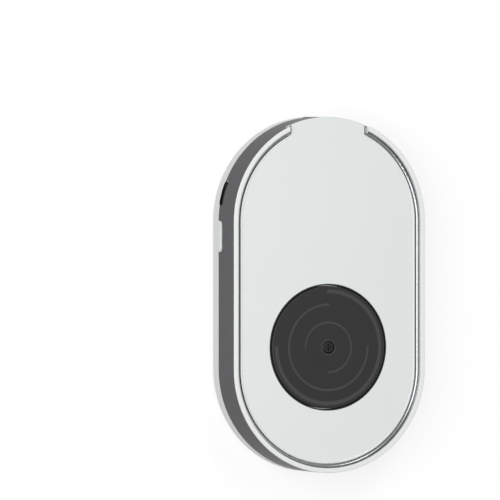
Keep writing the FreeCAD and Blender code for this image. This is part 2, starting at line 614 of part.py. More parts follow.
def make_side_frame():
    """Dark band: a ring with a tongue below, a pocket for the rim above and four screw posts."""
    wall = band(0, WALL, PARTING_Z, SEAT_BOTTOM)
    collar = band(0, RIM_NEST_WALL, SEAT_BOTTOM, BAND_TOP)
    tongue = band(WALL - TONGUE_THICKNESS, WALL, PARTING_Z - TONGUE_HEIGHT, PARTING_Z)
    post_bottom = FLOOR_TOP + COVER_BOSS_HEIGHT + SHELL_CLEARANCE
    room = stadium(WALL / 2, post_bottom, SEAT_BOTTOM)
    posts = [rod(x, y, post_bottom, SEAT_BOTTOM, COVER_POST_RADIUS).common(room)
             for x, y in cover_screw_points()]
    frame = fuse([wall, collar, tongue] + posts)
    tools = wall_openings()
    screw_top = SHELL_BOTTOM + COVER_SCREW_HEAD_HEIGHT + SCREW_HOLE_CLEARANCE + COVER_SCREW_LENGTH
    for x, y in cover_screw_points():
        tools.append(rod(x, y, post_bottom, screw_top, COVER_SCREW_RADIUS))
    tools.append(rim_gap(-RIM_END_THICKNESS - SHELL_CLEARANCE, PLATE_BOTTOM, BODY_LENGTH))
    return cut(frame, tools)


def make_front_rim():
    """Light rim: a lip with wrapped ends, a ledge that runs on to the plate's tab, and the plate's seat."""
    nest = RIM_NEST_WALL + SHELL_CLEARANCE
    seat_inner = PLATE_INSET + RIM_SEAT_WIDTH
    seat = band(nest, seat_inner, SEAT_BOTTOM, PLATE_BOTTOM)
    ledge = band(nest, PLATE_INSET - PLATE_CLEARANCE, PLATE_BOTTOM, LEDGE_TOP)
    lip = band(nest, RIM_LIP_WIDTH, LEDGE_TOP, BAND_TOP)
    crown = band(0, RIM_LIP_WIDTH, BAND_TOP, RIM_TOP)
    ends = band(0, nest, PLATE_BOTTOM, BAND_TOP).common(rim_gap(-RIM_END_THICKNESS, PLATE_BOTTOM, BAND_TOP))
    rim = cut(fuse([seat, ledge, lip, crown, ends]), [rim_gap(0, PLATE_BOTTOM, BODY_LENGTH)])
    rim = round_edges(rim, RIM_END_ROUND, is_gap_corner)
    rim = round_edges(rim, RIM_EDGE_ROUND, lambda e: lies_at(e, RIM_TOP))
    shelf = band(0, PLATE_INSET - PLATE_CLEARANCE, PLATE_BOTTOM, LEDGE_TOP)
    shelf = shelf.common(rim_gap(-RIM_END_ROUND, PLATE_BOTTOM, LEDGE_TOP))
    shelf = shelf.cut(rim_gap(TAB_CLEARANCE - PLATE_CLEARANCE, PLATE_BOTTOM, LEDGE_TOP))
    return fuse([rim, shelf])


def make_groove_trim():
    """Plated strip with a hollow section that lines the groove between the rim and the plate."""
    outer = RIM_LIP_WIDTH + TRIM_CLEARANCE
    wall = outer + TRIM_THICKNESS
    toe = PLATE_INSET - PLATE_CLEARANCE
    top = RIM_TOP - TRIM_TOP_DROP
    cove_start = at_inset(wall, GROOVE_FLOOR + TRIM_COVE)
    sag = TRIM_COVE * (1 - math.sqrt(0.5))
    cove_middle = at_inset(wall + sag, GROOVE_FLOOR + sag)
    cove_end = at_inset(wall + TRIM_COVE, GROOVE_FLOOR)
    around = [cove_end, at_inset(toe, GROOVE_FLOOR), at_inset(toe, LEDGE_TOP), at_inset(outer, LEDGE_TOP),
              at_inset(outer, top), at_inset(wall, top), cove_start]
    edges = [Part.LineSegment(a, b).toShape() for a, b in zip(around, around[1:])]
    edges.append(Part.Arc(cove_start, cove_middle, cove_end).toShape())
    return cut(outline_ring(Part.Wire(edges)), [rim_gap(0, PLATE_BOTTOM, BODY_LENGTH)])


def plate_bead():
    """Low rounded bead along the plate's edge, left out at the tab."""
    foot = PLATE_TOP - BEAD_EDGE_DROP
    outer = at_inset(PLATE_INSET, foot)
    crest = at_inset(PLATE_INSET + BEAD_CREST, PLATE_TOP + BEAD_HEIGHT)
    inner = at_inset(PLATE_INSET + BEAD_WIDTH, PLATE_TOP)
    inner_foot = at_inset(PLATE_INSET + BEAD_WIDTH, foot)
    edges = [Part.Arc(outer, crest, inner).toShape(),
             Part.LineSegment(inner, inner_foot).toShape(),
             Part.LineSegment(inner_foot, outer).toShape()]
    return cut(outline_ring(Part.Wire(edges)), [rim_gap(TAB_CLEARANCE, PLATE_BOTTOM, BODY_LENGTH)])


def plate_ribs():
    """Crosswise ribs under the plate's +Y half, and a collar that centres it on the well."""
    rib_bottom = PLATE_BOTTOM - PLATE_RIB
    half = PLATE_RIB / 2
    room = stadium(PLATE_INSET + RIM_SEAT_WIDTH + PLATE_RIB, rib_bottom, PLATE_BOTTOM)
    last_y = BODY_LENGTH / 2 - PLATE_INSET - RIM_SEAT_WIDTH - PLATE_RIB_SPACING / 2
    count = math.ceil((last_y - PLATE_RIB_START) / PLATE_RIB_SPACING)
    rows = [PLATE_RIB_START + i * PLATE_RIB_SPACING for i in range(count)]
    reach = PLATE_RIB_REACH
    ribs = [box(-reach, reach, y - half, y + half, rib_bottom, PLATE_BOTTOM) for y in rows]
    collar_inner = WELL_OUTER + PLATE_COLLAR_CLEARANCE
    collar = tube(0, DISC_CENTRE_Y, rib_bottom, PLATE_BOTTOM, collar_inner + PLATE_RIB, collar_inner)
    return [rib.common(room) for rib in ribs] + [collar]


def is_hole_edge(edge):
    """True for the rim of the turntable's hole."""
    return abs(edge.BoundBox.XLength - 2 * HOLE_RADIUS) < NEAR


def make_top_plate():
    """Pale plate: seated in the rim, with a tab through the rim's gap and the turntable's hole."""
    tab = stadium(0, PLATE_BOTTOM, PLATE_TOP).common(rim_gap(TAB_CLEARANCE, PLATE_BOTTOM, PLATE_TOP))
    tab = round_edges(tab, TAB_EDGE_ROUND, lambda e: lies_at(e, PLATE_TOP))
    base = stadium(PLATE_INSET, PLATE_BOTTOM, PLATE_TOP - BEAD_EDGE_DROP)
    surface = stadium(PLATE_INSET + BEAD_WIDTH, PLATE_BOTTOM, PLATE_TOP)
    plate = fuse([base, surface, plate_bead(), tab])
    hole = rod(0, DISC_CENTRE_Y, PLATE_BOTTOM, PLATE_TOP, HOLE_RADIUS)
    plate = plate.cut(hole)
    plate = bevel_edges(plate, HOLE_CHAMFER, lambda e: lies_at(e, PLATE_TOP) and is_hole_edge(e))
    return fuse([plate] + plate_ribs())


def make_rubber_feet():
    """Four pads, sunk a little way into the rear cover."""
    def pad(x, y):
        body = rod(x, y, 0, SHELL_BOTTOM + FOOT_SEAT_DEPTH, FOOT_RADIUS)
        return round_edges(body, FOOT_EDGE_ROUND, lambda e: lies_at(e, 0))
    return group([pad(x, y) for x, y in foot_points()])


# ---- Fasteners -----------------------------------------------------------------------------------
def screw(shank_radius, shank_length, head_radius, head_height):
    """Cross-head screw along -Z, its head's underside at z = 0."""
    head = rod(0, 0, 0, head_height, head_radius)
    head = round_edges(head, HEAD_ROUND_SHARE * head_height, lambda e: lies_at(e, head_height))
    shank = rod(0, 0, -shank_length, 0, shank_radius)
    reach = CROSS_SLOT_REACH_SHARE * head_radius
    half = CROSS_SLOT_WIDTH / 2
    depth = CROSS_SLOT_DEPTH_SHARE * head_height
    slots = [box(-reach, reach, -half, half, head_height - depth, head_height),
             box(-half, half, -reach, reach, head_height - depth, head_height)]
    return cut(fuse([head, shank]), slots)


def small_screw(length):
    """The screw that holds the well, the board and the motor clamp."""
    return screw(SMALL_SCREW_RADIUS, length, SMALL_SCREW_HEAD_RADIUS, SMALL_SCREW_HEAD_HEIGHT)


def make_cover_screws():
    """Four screws, up through the rear cover into the side frame."""
    body = screw(COVER_SCREW_RADIUS, COVER_SCREW_LENGTH, COVER_SCREW_HEAD_RADIUS, COVER_SCREW_HEAD_HEIGHT)
    body.rotate(V(0, 0, 0), V(1, 0, 0), 180)
    head_seat = SHELL_BOTTOM + COVER_SCREW_HEAD_HEIGHT + SCREW_HOLE_CLEARANCE
    return group([moved(body, x, y, head_seat) for x, y in cover_screw_points()])


def make_well_screws():
    """Screws through the well's lugs into the rear cover's posts."""
    body = small_screw(SMALL_SCREW_LENGTH)
    return group([moved(body, x, y, WELL_FLOOR_TOP) for x, y in well_screw_points()])


def make_board_screws():
    """Screws through the circuit board."""
    body = small_screw(BOARD_SCREW_LENGTH)
    return group([moved(body, x, y, BOARD_TOP) for x, y in BOARD_SCREW_POINTS])


def make_clamp_screws():
    """Screws through the motor clamp's feet."""
    body = small_screw(SMALL_SCREW_LENGTH)
    return group([moved(body, x, y, MOTOR_Z + CLAMP_THICKNESS) for x, y in clamp_screw_points()])


# ---- Turntable -----------------------------------------------------------------------------------
def arc_groove(radius, width, start_degrees):
    """Shallow round-ended arc groove in the disc's surface, sweeping counter-clockwise from start_degrees."""
    depth = GROOVE_DEPTH
    centre = V(0, DISC_CENTRE_Y, DISC_TOP - depth)
    outer = Part.makeCylinder(radius + width / 2, depth, centre, V(0, 0, 1), ARC_SWEEP)
    inner = Part.makeCylinder(radius - width / 2, depth, centre, V(0, 0, 1), ARC_SWEEP)
    sweep = math.radians(ARC_SWEEP)
    points = ((radius, 0), (radius * math.cos(sweep), radius * math.sin(sweep)))
    ends = [rod(x, DISC_CENTRE_Y + y, DISC_TOP - depth, DISC_TOP, width / 2) for x, y in points]
    return turned_to(fuse([outer.cut(inner)] + ends), 0, DISC_CENTRE_Y, start_degrees)


def hexagon(flats, z0, z1):
    """Upright hexagonal bar on the turntable's axis."""
    corner = flats / math.sqrt(3)
    angles = [math.radians(60 * i) for i in range(7)]
    points = [V(corner * math.cos(a), DISC_CENTRE_Y + corner * math.sin(a), z0) for a in angles]
    return Part.Face(Part.makePolygon(points)).extrude(V(0, 0, z1 - z0))


def make_turntable_disc():
    """Dark disc: three arc grooves and a ring above, a bead and a hexagonal socket below."""
    x, y = 0, DISC_CENTRE_Y
    disc = rod(x, y, DISC_BOTTOM, DISC_TOP, DISC_RADIUS)
    disc = round_edges(disc, DISC_EDGE_ROUND, lambda e: lies_at(e, DISC_TOP))
    bead_outer = DISC_RADIUS - RING_CLEARANCE
    bead = tube(x, y, DISC_BOTTOM - DISC_BEAD_HEIGHT, DISC_BOTTOM, bead_outer, bead_outer - DISC_BEAD_WIDTH)
    hub = rod(x, y, DISC_BOTTOM - DISC_HUB_DEPTH, DISC_BOTTOM, DISC_HUB_RADIUS)
    tools = [
        arc_groove(OUTER_ARC_RADIUS, OUTER_ARC_WIDTH, 180),
        arc_groove(MIDDLE_ARC_RADIUS, MIDDLE_ARC_WIDTH, 90),
        arc_groove(INNER_ARC_RADIUS, INNER_ARC_WIDTH, 270),
        tube(x, y, DISC_TOP - GROOVE_DEPTH, DISC_TOP, CENTRE_RING_OUTER, CENTRE_RING_INNER),
        rod(x, y, SCREW_SEAT, DISC_TOP, SCREW_RECESS_RADIUS),
        rod(x, y, DISC_BOTTOM, DISC_TOP, DISC_SCREW_RADIUS + SCREW_HOLE_CLEARANCE),
        hexagon(SPINDLE_DRIVE_FLATS, DISC_BOTTOM - DISC_HUB_DEPTH, DRIVE_TOP),
    ]
    return cut(fuse([disc, bead, hub]), tools)


def make_disc_screw():
    """Screw that clamps the disc to the spindle."""
    body = screw(DISC_SCREW_RADIUS, DISC_SCREW_LENGTH, DISC_SCREW_HEAD_RADIUS, DISC_SCREW_HEAD_HEIGHT)
    return moved(body, 0, DISC_CENTRE_Y, SCREW_SEAT)


def make_support_ring():
    """Bright ring under the disc's edge; it shows in the gap round the disc."""
    outer = LINER_INNER - RING_CLEARANCE
    return tube(0, DISC_CENTRE_Y, RING_BOTTOM, RING_TOP, outer, outer - RING_WIDTH)


def well_lugs():
    """Rounded lugs that carry the well on the rear cover's posts."""
    near = WELL_OUTER - WELL_WALL / 2
    end = rod(WELL_LUG_REACH, DISC_CENTRE_Y, WELL_FLOOR_BOTTOM, WELL_FLOOR_TOP, WELL_LUG_RADIUS)
    arm = box(near, WELL_LUG_REACH, DISC_CENTRE_Y - WELL_LUG_RADIUS, DISC_CENTRE_Y + WELL_LUG_RADIUS,
              WELL_FLOOR_BOTTOM, WELL_FLOOR_TOP)
    lug = end.fuse(arm)
    turns = [WELL_LUG_START + 360 * i / WELL_LUG_COUNT for i in range(WELL_LUG_COUNT)]
    return [turned_to(lug, 0, DISC_CENTRE_Y, turn) for turn in turns]


def make_turntable_well():
    """Black cup: lines the plate's hole, seats the ring and holds the spindle's bush."""
    x, y = 0, DISC_CENTRE_Y
    liner = tube(x, y, WELL_FLOOR_BOTTOM, PLATE_TOP - LINER_DROP, LINER_OUTER, LINER_INNER)
    wall = tube(x, y, WELL_FLOOR_BOTTOM, PLATE_BOTTOM - SHELL_CLEARANCE, WELL_OUTER, LINER_INNER)
    floor = rod(x, y, WELL_FLOOR_BOTTOM, WELL_FLOOR_TOP, WELL_OUTER)
    step = tube(x, y, WELL_FLOOR_TOP, RING_BOTTOM, WELL_OUTER, LINER_INNER - RING_CLEARANCE - RING_WIDTH)
    boss = rod(x, y, BOSS_BOTTOM, WELL_FLOOR_BOTTOM, BEARING_BOSS_RADIUS)
    well = fuse([floor, wall, liner, step, boss] + well_lugs())
    tools = [rod(x, y, BOSS_BOTTOM, WELL_FLOOR_TOP, BUSH_OUTER)]
    hole = SMALL_SCREW_RADIUS + SCREW_HOLE_CLEARANCE
    tools += [rod(lx, ly, WELL_FLOOR_BOTTOM, WELL_FLOOR_TOP, hole) for lx, ly in well_screw_points()]
    axle_top = WELL_FLOOR_TOP
    tools.append(rod(COMPOUND_X, COMPOUND_Y, WELL_FLOOR_BOTTOM, axle_top, AXLE_RADIUS))
    return cut(well, tools)


def make_spindle_bush():
    """Bronze bush in the well's boss."""
    inner = SPINDLE_RADIUS + RUNNING_CLEARANCE
    return tube(0, DISC_CENTRE_Y, BOSS_BOTTOM, WELL_FLOOR_TOP, BUSH_OUTER, inner)


# ---- Gears ---------------------------------------------------------------------------------------
def involute(angle):
    """Involute function of a pressure angle in radians."""
    return math.tan(angle) - angle


def gear_outline(module, teeth, z):
    """Closed outline of a spur gear about the Z axis, with a tooth centred on +X."""
    pitch_radius = module * teeth / 2
    pressure = math.radians(PRESSURE_ANGLE)
    base_radius = pitch_radius * math.cos(pressure)
    tip_radius = pitch_radius + ADDENDUM * module
    root_radius = pitch_radius - DEDENDUM * module
    start_radius = max(base_radius, root_radius)
    half_at_pitch = (math.pi * module / 2 - BACKLASH) / (2 * pitch_radius)

    def half_angle(radius):
        return half_at_pitch + involute(pressure) - involute(math.acos(base_radius / radius))

    def at(radius, angle):
        return V(radius * math.cos(angle), radius * math.sin(angle), z)

    start_half = half_angle(start_radius)
    middle_radius = (start_radius + tip_radius) / 2
    step = 2 * math.pi / teeth
    edges = []
    for i in range(teeth):
        a = i * step
        low_start, high_start = [at(start_radius, a + side * start_half) for side in (-1, 1)]
        low_flank, high_flank = [at(middle_radius, a + side * half_angle(middle_radius)) for side in (-1, 1)]
        low_tip, high_tip = [at(tip_radius, a + side * half_angle(tip_radius)) for side in (-1, 1)]
        edges.append(Part.Arc(low_start, low_flank, low_tip).toShape())
        edges.append(Part.Arc(low_tip, at(tip_radius, a), high_tip).toShape())
        edges.append(Part.Arc(high_tip, high_flank, high_start).toShape())
        root_from = high_start
        root_to = at(start_radius, a + step - start_half)
        if start_radius > root_radius:
            root_from = at(root_radius, a + start_half)
            root_to = at(root_radius, a + step - start_half)
            edges.append(Part.LineSegment(high_start, root_from).toShape())
        edges.append(Part.Arc(root_from, at(root_radius, a + step / 2), root_to).toShape())
        if start_radius > root_radius:
            edges.append(Part.LineSegment(root_to, at(start_radius, a + step - start_half)).toShape())
    return Part.Wire(edges)


def spur_gear(module, teeth, z0, z1):
    """Spur gear about the Z axis."""
    return Part.Face(gear_outline(module, teeth, z0)).extrude(V(0, 0, z1 - z0))


def helical_gear(module, teeth, z0, z1, twist_degrees):
    """Helical gear about the Z axis: its outline turns by twist_degrees from z0 to z1."""
    low = gear_outline(module, teeth, z0)
    low.rotate(V(0, 0, 0), V(0, 0, 1), -twist_degrees / 2)
    high = gear_outline(module, teeth, z1)
    high.rotate(V(0, 0, 0), V(0, 0, 1), twist_degrees / 2)
    return Part.makeLoft([low, high], True, True)


def make_output_gear():
    """Large gear and the turntable's spindle in one moulding."""
    x, y = 0, DISC_CENTRE_Y
    gear = moved(spur_gear(OUTPUT_MODULE, OUTPUT_TEETH, OUTPUT_BOTTOM, OUTPUT_TOP), x, y, 0)
    gear = turned_to(gear, x, y, TRAIN_ANGLE)
    rim_inner = OUTPUT_PITCH_RADIUS - DEDENDUM * OUTPUT_MODULE - OUTPUT_RIM
    pocket_depth = (OUTPUT_FACE - OUTPUT_WEB) / 2
    pockets = [tube(x, y, OUTPUT_TOP - pocket_depth, OUTPUT_TOP, rim_inner, OUTPUT_HUB_RADIUS),
               tube(x, y, OUTPUT_BOTTOM, OUTPUT_BOTTOM + pocket_depth, rim_inner, OUTPUT_HUB_RADIUS)]
    hole_reach = (rim_inner + OUTPUT_HUB_RADIUS) / 2
    for i in range(OUTPUT_HOLE_COUNT):
        a = math.radians(360 * i / OUTPUT_HOLE_COUNT)
        pockets.append(rod(x + hole_reach * math.cos(a), y + hole_reach * math.sin(a),
                           OUTPUT_BOTTOM, OUTPUT_TOP, OUTPUT_HOLE_RADIUS))
    collar = rod(x, y, OUTPUT_TOP, BOSS_BOTTOM - RUNNING_CLEARANCE, SPINDLE_RADIUS + BUSH_WALL / 2)
    journal = rod(x, y, OUTPUT_TOP, WELL_FLOOR_TOP, SPINDLE_RADIUS)
    drive = hexagon(SPINDLE_DRIVE_FLATS, WELL_FLOOR_TOP, DRIVE_TOP)
    spindle_boss_top = OUTPUT_BOTTOM - GEAR_GAP
    foot = rod(x, y, spindle_boss_top - AXLE_FOOT, OUTPUT_BOTTOM, SPINDLE_TIP_RADIUS)
    screw_hole = rod(x, y, SCREW_SEAT - DISC_SCREW_LENGTH, DRIVE_TOP, DISC_SCREW_RADIUS)
    return cut(fuse([gear.cut(pockets), collar, journal, drive, foot]), [screw_hole])


def make_compound_gear():
    """Worm wheel with the pinion on top, in one moulding."""
    lead_angle = math.atan(WORM_MODULE / 2 / WORM_PITCH_RADIUS)
    twist = math.degrees(WHEEL_FACE * math.tan(lead_angle) / WHEEL_PITCH_RADIUS)
    wheel = helical_gear(WORM_MODULE, WORM_WHEEL_TEETH, WHEEL_BOTTOM, WHEEL_TOP, twist)
    wheel = turned_to(wheel, 0, 0, 180 / WORM_WHEEL_TEETH)
    pinion = spur_gear(OUTPUT_MODULE, PINION_TEETH, WHEEL_TOP, PINION_TOP)
    pinion = turned_to(pinion, 0, 0, TRAIN_ANGLE + 180 + 180 / PINION_TEETH)
    bore = rod(0, 0, WHEEL_BOTTOM, PINION_TOP, AXLE_RADIUS + RUNNING_CLEARANCE)
    return moved(cut(wheel.fuse(pinion), [bore]), COMPOUND_X, COMPOUND_Y, 0)


def make_gear_axle():
    """Steel pin from the rear cover's boss up into the well's floor."""
    return rod(COMPOUND_X, COMPOUND_Y, WHEEL_BOTTOM - GEAR_GAP - AXLE_FOOT, WELL_FLOOR_TOP, AXLE_RADIUS)


def worm_thread():
    """One right-handed thread round the Z axis, longer than the worm at both ends."""
    pitch = math.pi * WORM_MODULE
    turns = math.ceil(WORM_LENGTH / pitch) + 2
    tip = WORM_PITCH_RADIUS + ADDENDUM * WORM_MODULE
    root = WORM_PITCH_RADIUS - DEDENDUM * WORM_MODULE
    slope = math.tan(math.radians(PRESSURE_ANGLE))
    half = (pitch / 2 - BACKLASH) / 2

    def corner(radius, side):
        return V(radius, 0, side * (half - (radius - WORM_PITCH_RADIUS) * slope))

    inner = root - THREAD_OVERLAP
    points = [corner(inner, -1), corner(tip, -1), corner(tip, 1), corner(inner, 1)]
    profile = Part.makePolygon(points + points[:1])
    helix = Part.makeHelix(pitch, turns * pitch, WORM_PITCH_RADIUS)
    thread = Part.Wire(helix.Edges).makePipeShell([profile], True, True)
    thread.translate(V(0, 0, -turns * pitch / 2))
    return thread


def make_worm():
    """Worm on the motor's shaft, its thread level with a tooth gap of the worm wheel."""
    root = WORM_PITCH_RADIUS - DEDENDUM * WORM_MODULE
    half = WORM_LENGTH / 2
    core = rod(0, 0, -half, half, root)
    room = rod(0, 0, -half, half, 2 * WORM_PITCH_RADIUS)
    body = core.fuse(worm_thread().common(room))
    body = cut(body, [rod(0, 0, -half, half, MOTOR_SHAFT_RADIUS)])
    body.rotate(V(0, 0, 0), V(0, 0, 1), WORM_PHASE)
    body.rotate(V(0, 0, 0), V(1, 0, 0), -90)
    return moved(body, WORM_X, WORM_Y, MOTOR_Z)


# ---- Motor ---------------------------------------------------------------------------------------
def motor_block(y0, y1):
    """Round motor body with two flats."""
    barrel = rod_y(WORM_X, MOTOR_Z, y0, y1, MOTOR_WIDTH / 2)
    flats = box(WORM_X - MOTOR_WIDTH, WORM_X + MOTOR_WIDTH, y0, y1,
                MOTOR_Z - MOTOR_HEIGHT / 2, MOTOR_Z + MOTOR_HEIGHT / 2)
    return barrel.common(flats)


def make_motor_can():
    """Steel can with its bearing nose."""
    can = motor_block(MOTOR_FRONT, MOTOR_BACK - MOTOR_CAP_LENGTH)
    nose = rod_y(WORM_X, MOTOR_Z, MOTOR_FRONT - MOTOR_NOSE_LENGTH, MOTOR_FRONT, MOTOR_NOSE_RADIUS)
    bore = rod_y(WORM_X, MOTOR_Z, MOTOR_FRONT - MOTOR_NOSE_LENGTH, MOTOR_BACK,
                 MOTOR_SHAFT_RADIUS + RUNNING_CLEARANCE)
    return cut(fuse([can, nose]), [bore])


def make_motor_end_cap():
    """Plastic end cap that holds the terminals."""
    return motor_block(MOTOR_BACK - MOTOR_CAP_LENGTH, MOTOR_BACK)


def make_motor_shaft():
    """Shaft from the end bearing, through the worm, into the can."""
    return rod_y(WORM_X, MOTOR_Z, WORM_Y - WORM_LENGTH / 2 - SHAFT_END_REACH,
                 MOTOR_BACK - MOTOR_CAP_LENGTH - GEAR_GAP, MOTOR_SHAFT_RADIUS)


def make_motor_terminals():
    """Two flat terminals."""
    def blade(side):
        x = WORM_X + side * TERMINAL_SPACING / 2
        return box(x - TERMINAL_WIDTH / 2, x + TERMINAL_WIDTH / 2, MOTOR_BACK, MOTOR_BACK + TERMINAL_LENGTH,
                   MOTOR_Z - TERMINAL_THICKNESS / 2, MOTOR_Z + TERMINAL_THICKNESS / 2)
    return group([blade(-1), blade(1)])


def make_motor_clamp():
    """Bent strap over the motor, with a foot on each side."""
    half = MOTOR_WIDTH / 2
    y0 = CLAMP_Y - CLAMP_WIDTH / 2
    y1 = CLAMP_Y + CLAMP_WIDTH / 2
    top = MOTOR_Z + MOTOR_HEIGHT / 2
    t = CLAMP_THICKNESS
    pieces = [box(WORM_X - half - t, WORM_X + half + t, y0, y1, top, top + t)]
    for side in (-1, 1):
        leg = sorted((WORM_X + side * half, WORM_X + side * (half + t)))
        foot = sorted((WORM_X + side * half, WORM_X + side * (half + t + CLAMP_FOOT)))
        pieces.append(box(leg[0], leg[1], y0, y1, MOTOR_Z, top))
        pieces.append(box(foot[0], foot[1], y0, y1, MOTOR_Z, MOTOR_Z + t))
    clamp = fuse(pieces)
    clamp = round_edges(clamp, CLAMP_ROUND, lambda e: lies_at(e, top + t) and e.BoundBox.XLength < NEAR)
    holes = [rod(x, y, MOTOR_Z, top, SMALL_SCREW_RADIUS + SCREW_HOLE_CLEARANCE)
             for x, y in clamp_screw_points()]
    return cut(clamp, holes)


# ---- Board and electronics -----------------------------------------------------------------------
def make_circuit_board():
    """Board that fills the +Y end, cut out for the motor, the posts and the well's lug."""
    board = stadium(BOARD_INSET, BOARD_BOTTOM, BOARD_TOP)
    below = box(-BODY_WIDTH, BODY_WIDTH, -BODY_LENGTH, BOARD_LOWER_Y, BOARD_BOTTOM, BOARD_TOP)
    clear = BOARD_MOTOR_CLEARANCE
    motor_room = box(WORM_X - CLAMP_SCREW_X - CLAMP_POST_RADIUS - clear, BODY_WIDTH, 0,
                     MOTOR_BACK + TERMINAL_LENGTH + clear, BOARD_BOTTOM, BOARD_TOP)
    knob_half = KNOB_FLANGE_REACH_X + BOARD_POST_CLEARANCE
    knob_room = box(-knob_half, knob_half, KNOB_FLANGE_Y - BOARD_POST_CLEARANCE, BODY_LENGTH,
                    BOARD_BOTTOM, BOARD_TOP)
    tools = [below, motor_room, knob_room]
    for x, y in cover_screw_points():
        tools.append(rod(x, y, BOARD_BOTTOM, BOARD_TOP, COVER_POST_RADIUS + BOARD_POST_CLEARANCE))
    hole = SMALL_SCREW_RADIUS + SCREW_HOLE_CLEARANCE
    for x, y in BOARD_SCREW_POINTS:
        tools.append(rod(x, y, BOARD_BOTTOM, BOARD_TOP, hole))
    return cut(board, tools)


def make_usb_shell():
    """Metal shell of the USB-C socket."""
    walls = 2 * USB_SHELL_WALL
    outer = rounded_bar(USB_WIDTH, USB_HEIGHT, USB_HEIGHT / 2, USB_DEPTH)
    inner = rounded_bar(USB_WIDTH - walls, USB_HEIGHT - walls, (USB_HEIGHT - walls) / 2, USB_DEPTH - walls)
    return through_side(outer.cut(inner), USB_Y, USB_Z, USB_X)


def make_usb_tongue():
    """Contact tongue in the middle of the socket."""
    root = USB_DEPTH - 2 * USB_SHELL_WALL
    tongue = rounded_bar(USB_TONGUE_WIDTH, USB_TONGUE_THICKNESS, USB_TONGUE_CORNER, USB_TONGUE_DEPTH)
    return through_side(tongue, USB_Y, USB_Z, USB_X + root - USB_TONGUE_DEPTH)


def on_board(x, y, size):
    """Block that stands on the board, centred on a point."""
    length, width, height = size
    return box(x - length / 2, x + length / 2, y - width / 2, y + width / 2, BOARD_TOP, BOARD_TOP + height)


def make_board_chips():
    """Control chip, two capacitors and the small parts beside the chip."""
    chip_x, chip_y = CHIP_POINT
    parts = [on_board(chip_x, chip_y, CHIP_SIZE)]
    parts += [rod(x, y, BOARD_TOP, BOARD_TOP + height, radius) for x, y, radius, height in CAPACITORS]
    parts += [on_board(chip_x + dx, chip_y + dy, CHIP_RESISTOR) for dx, dy in CHIP_RESISTOR_OFFSETS]
    return group(parts)


def make_lead_socket():
    """Two-pin socket for the motor's leads."""
    x, y = LEAD_SOCKET_POINT
    return on_board(x, y, LEAD_SOCKET_SIZE)


def cord(points, radius):
    """Round cord through the points: straight runs with tangent arcs between them."""
    edges = []
    start = points[0]
    for before, corner, after in zip(points, points[1:], points[2:]):
        back = before - corner
        ahead = after - corner
        reach = LEAD_ARC_SHARE * min(back.Length, ahead.Length)
        back.normalize()
        ahead.normalize()
        half_turn = (math.pi - back.getAngle(ahead)) / 2
        bend = reach / math.tan(half_turn)
        bisector = back + ahead
        bisector.normalize()
        centre = corner + bisector * (bend / math.cos(half_turn))
        enter = corner + back * reach
        leave = corner + ahead * reach
        edges.append(Part.LineSegment(start, enter).toShape())
        edges.append(Part.Arc(enter, centre - bisector * bend, leave).toShape())
        start = leave
    edges.append(Part.LineSegment(start, points[-1]).toShape())
    section = Part.Wire(Part.makeCircle(radius, points[0], points[1] - points[0]))
    return Part.Wire(edges).makePipeShell([section], True, True)


def make_motor_leads():
    """Two leads from the motor's terminals to the socket on the board."""
    socket_x = LEAD_SOCKET_POINT[0] + LEAD_SOCKET_SIZE[0] / 2
    leads = []
    for side in (-1, 1):
        x = WORM_X + side * TERMINAL_SPACING / 2
        y = LEAD_SOCKET_POINT[1] + side * LEAD_SPACING / 2
        points = [V(x, MOTOR_BACK + TERMINAL_LENGTH, MOTOR_Z), V(x, y, MOTOR_Z), V(socket_x, y, MOTOR_Z)]
        leads.append(cord(points, LEAD_RADIUS))
    return group(leads)


# ---- Side button ---------------------------------------------------------------------------------
def make_side_button():
    """Oblong button with a flange that keeps it inside the wall."""
    face = rounded_bar(BUTTON_LENGTH, BUTTON_HEIGHT, BUTTON_CORNER, BUTTON_FLANGE_X - BUTTON_FACE_X)
    face = round_edges(face, BUTTON_EDGE_ROUND, lambda e: lies_at(e, 0))
    flange = rounded_bar(BUTTON_LENGTH + 2 * BUTTON_FLANGE, BUTTON_HEIGHT + 2 * BUTTON_FLANGE,
                         BUTTON_CORNER, BUTTON_FLANGE_THICKNESS)
    return fuse([through_side(face, BUTTON_Y, BUTTON_Z, BUTTON_FACE_X),
                 through_side(flange, BUTTON_Y, BUTTON_Z, BUTTON_FLANGE_X)])


def make_button_switch_plunger():
    """Plunger between the button and its switch."""
    return rod_x(BUTTON_Y, BUTTON_Z, PLUNGER_X, PLUNGER_X + PLUNGER_LENGTH, PLUNGER_RADIUS)


def make_button_switch_body():
    """Side-acting push switch, bored for its plunger."""
    depth, width, height = BUTTON_SWITCH_SIZE
    block = box(BUTTON_SWITCH_X, BUTTON_SWITCH_X + depth, BUTTON_Y - width / 2, BUTTON_Y + width / 2,
                BOARD_TOP, BOARD_TOP + height)
    bore_end = PLUNGER_X + PLUNGER_LENGTH + BUTTON_TRAVEL + SHELL_CLEARANCE
    bore = rod_x(BUTTON_Y, BUTTON_Z, BUTTON_SWITCH_X, bore_end, PLUNGER_RADIUS + RUNNING_CLEARANCE)
    return block.cut(bore)


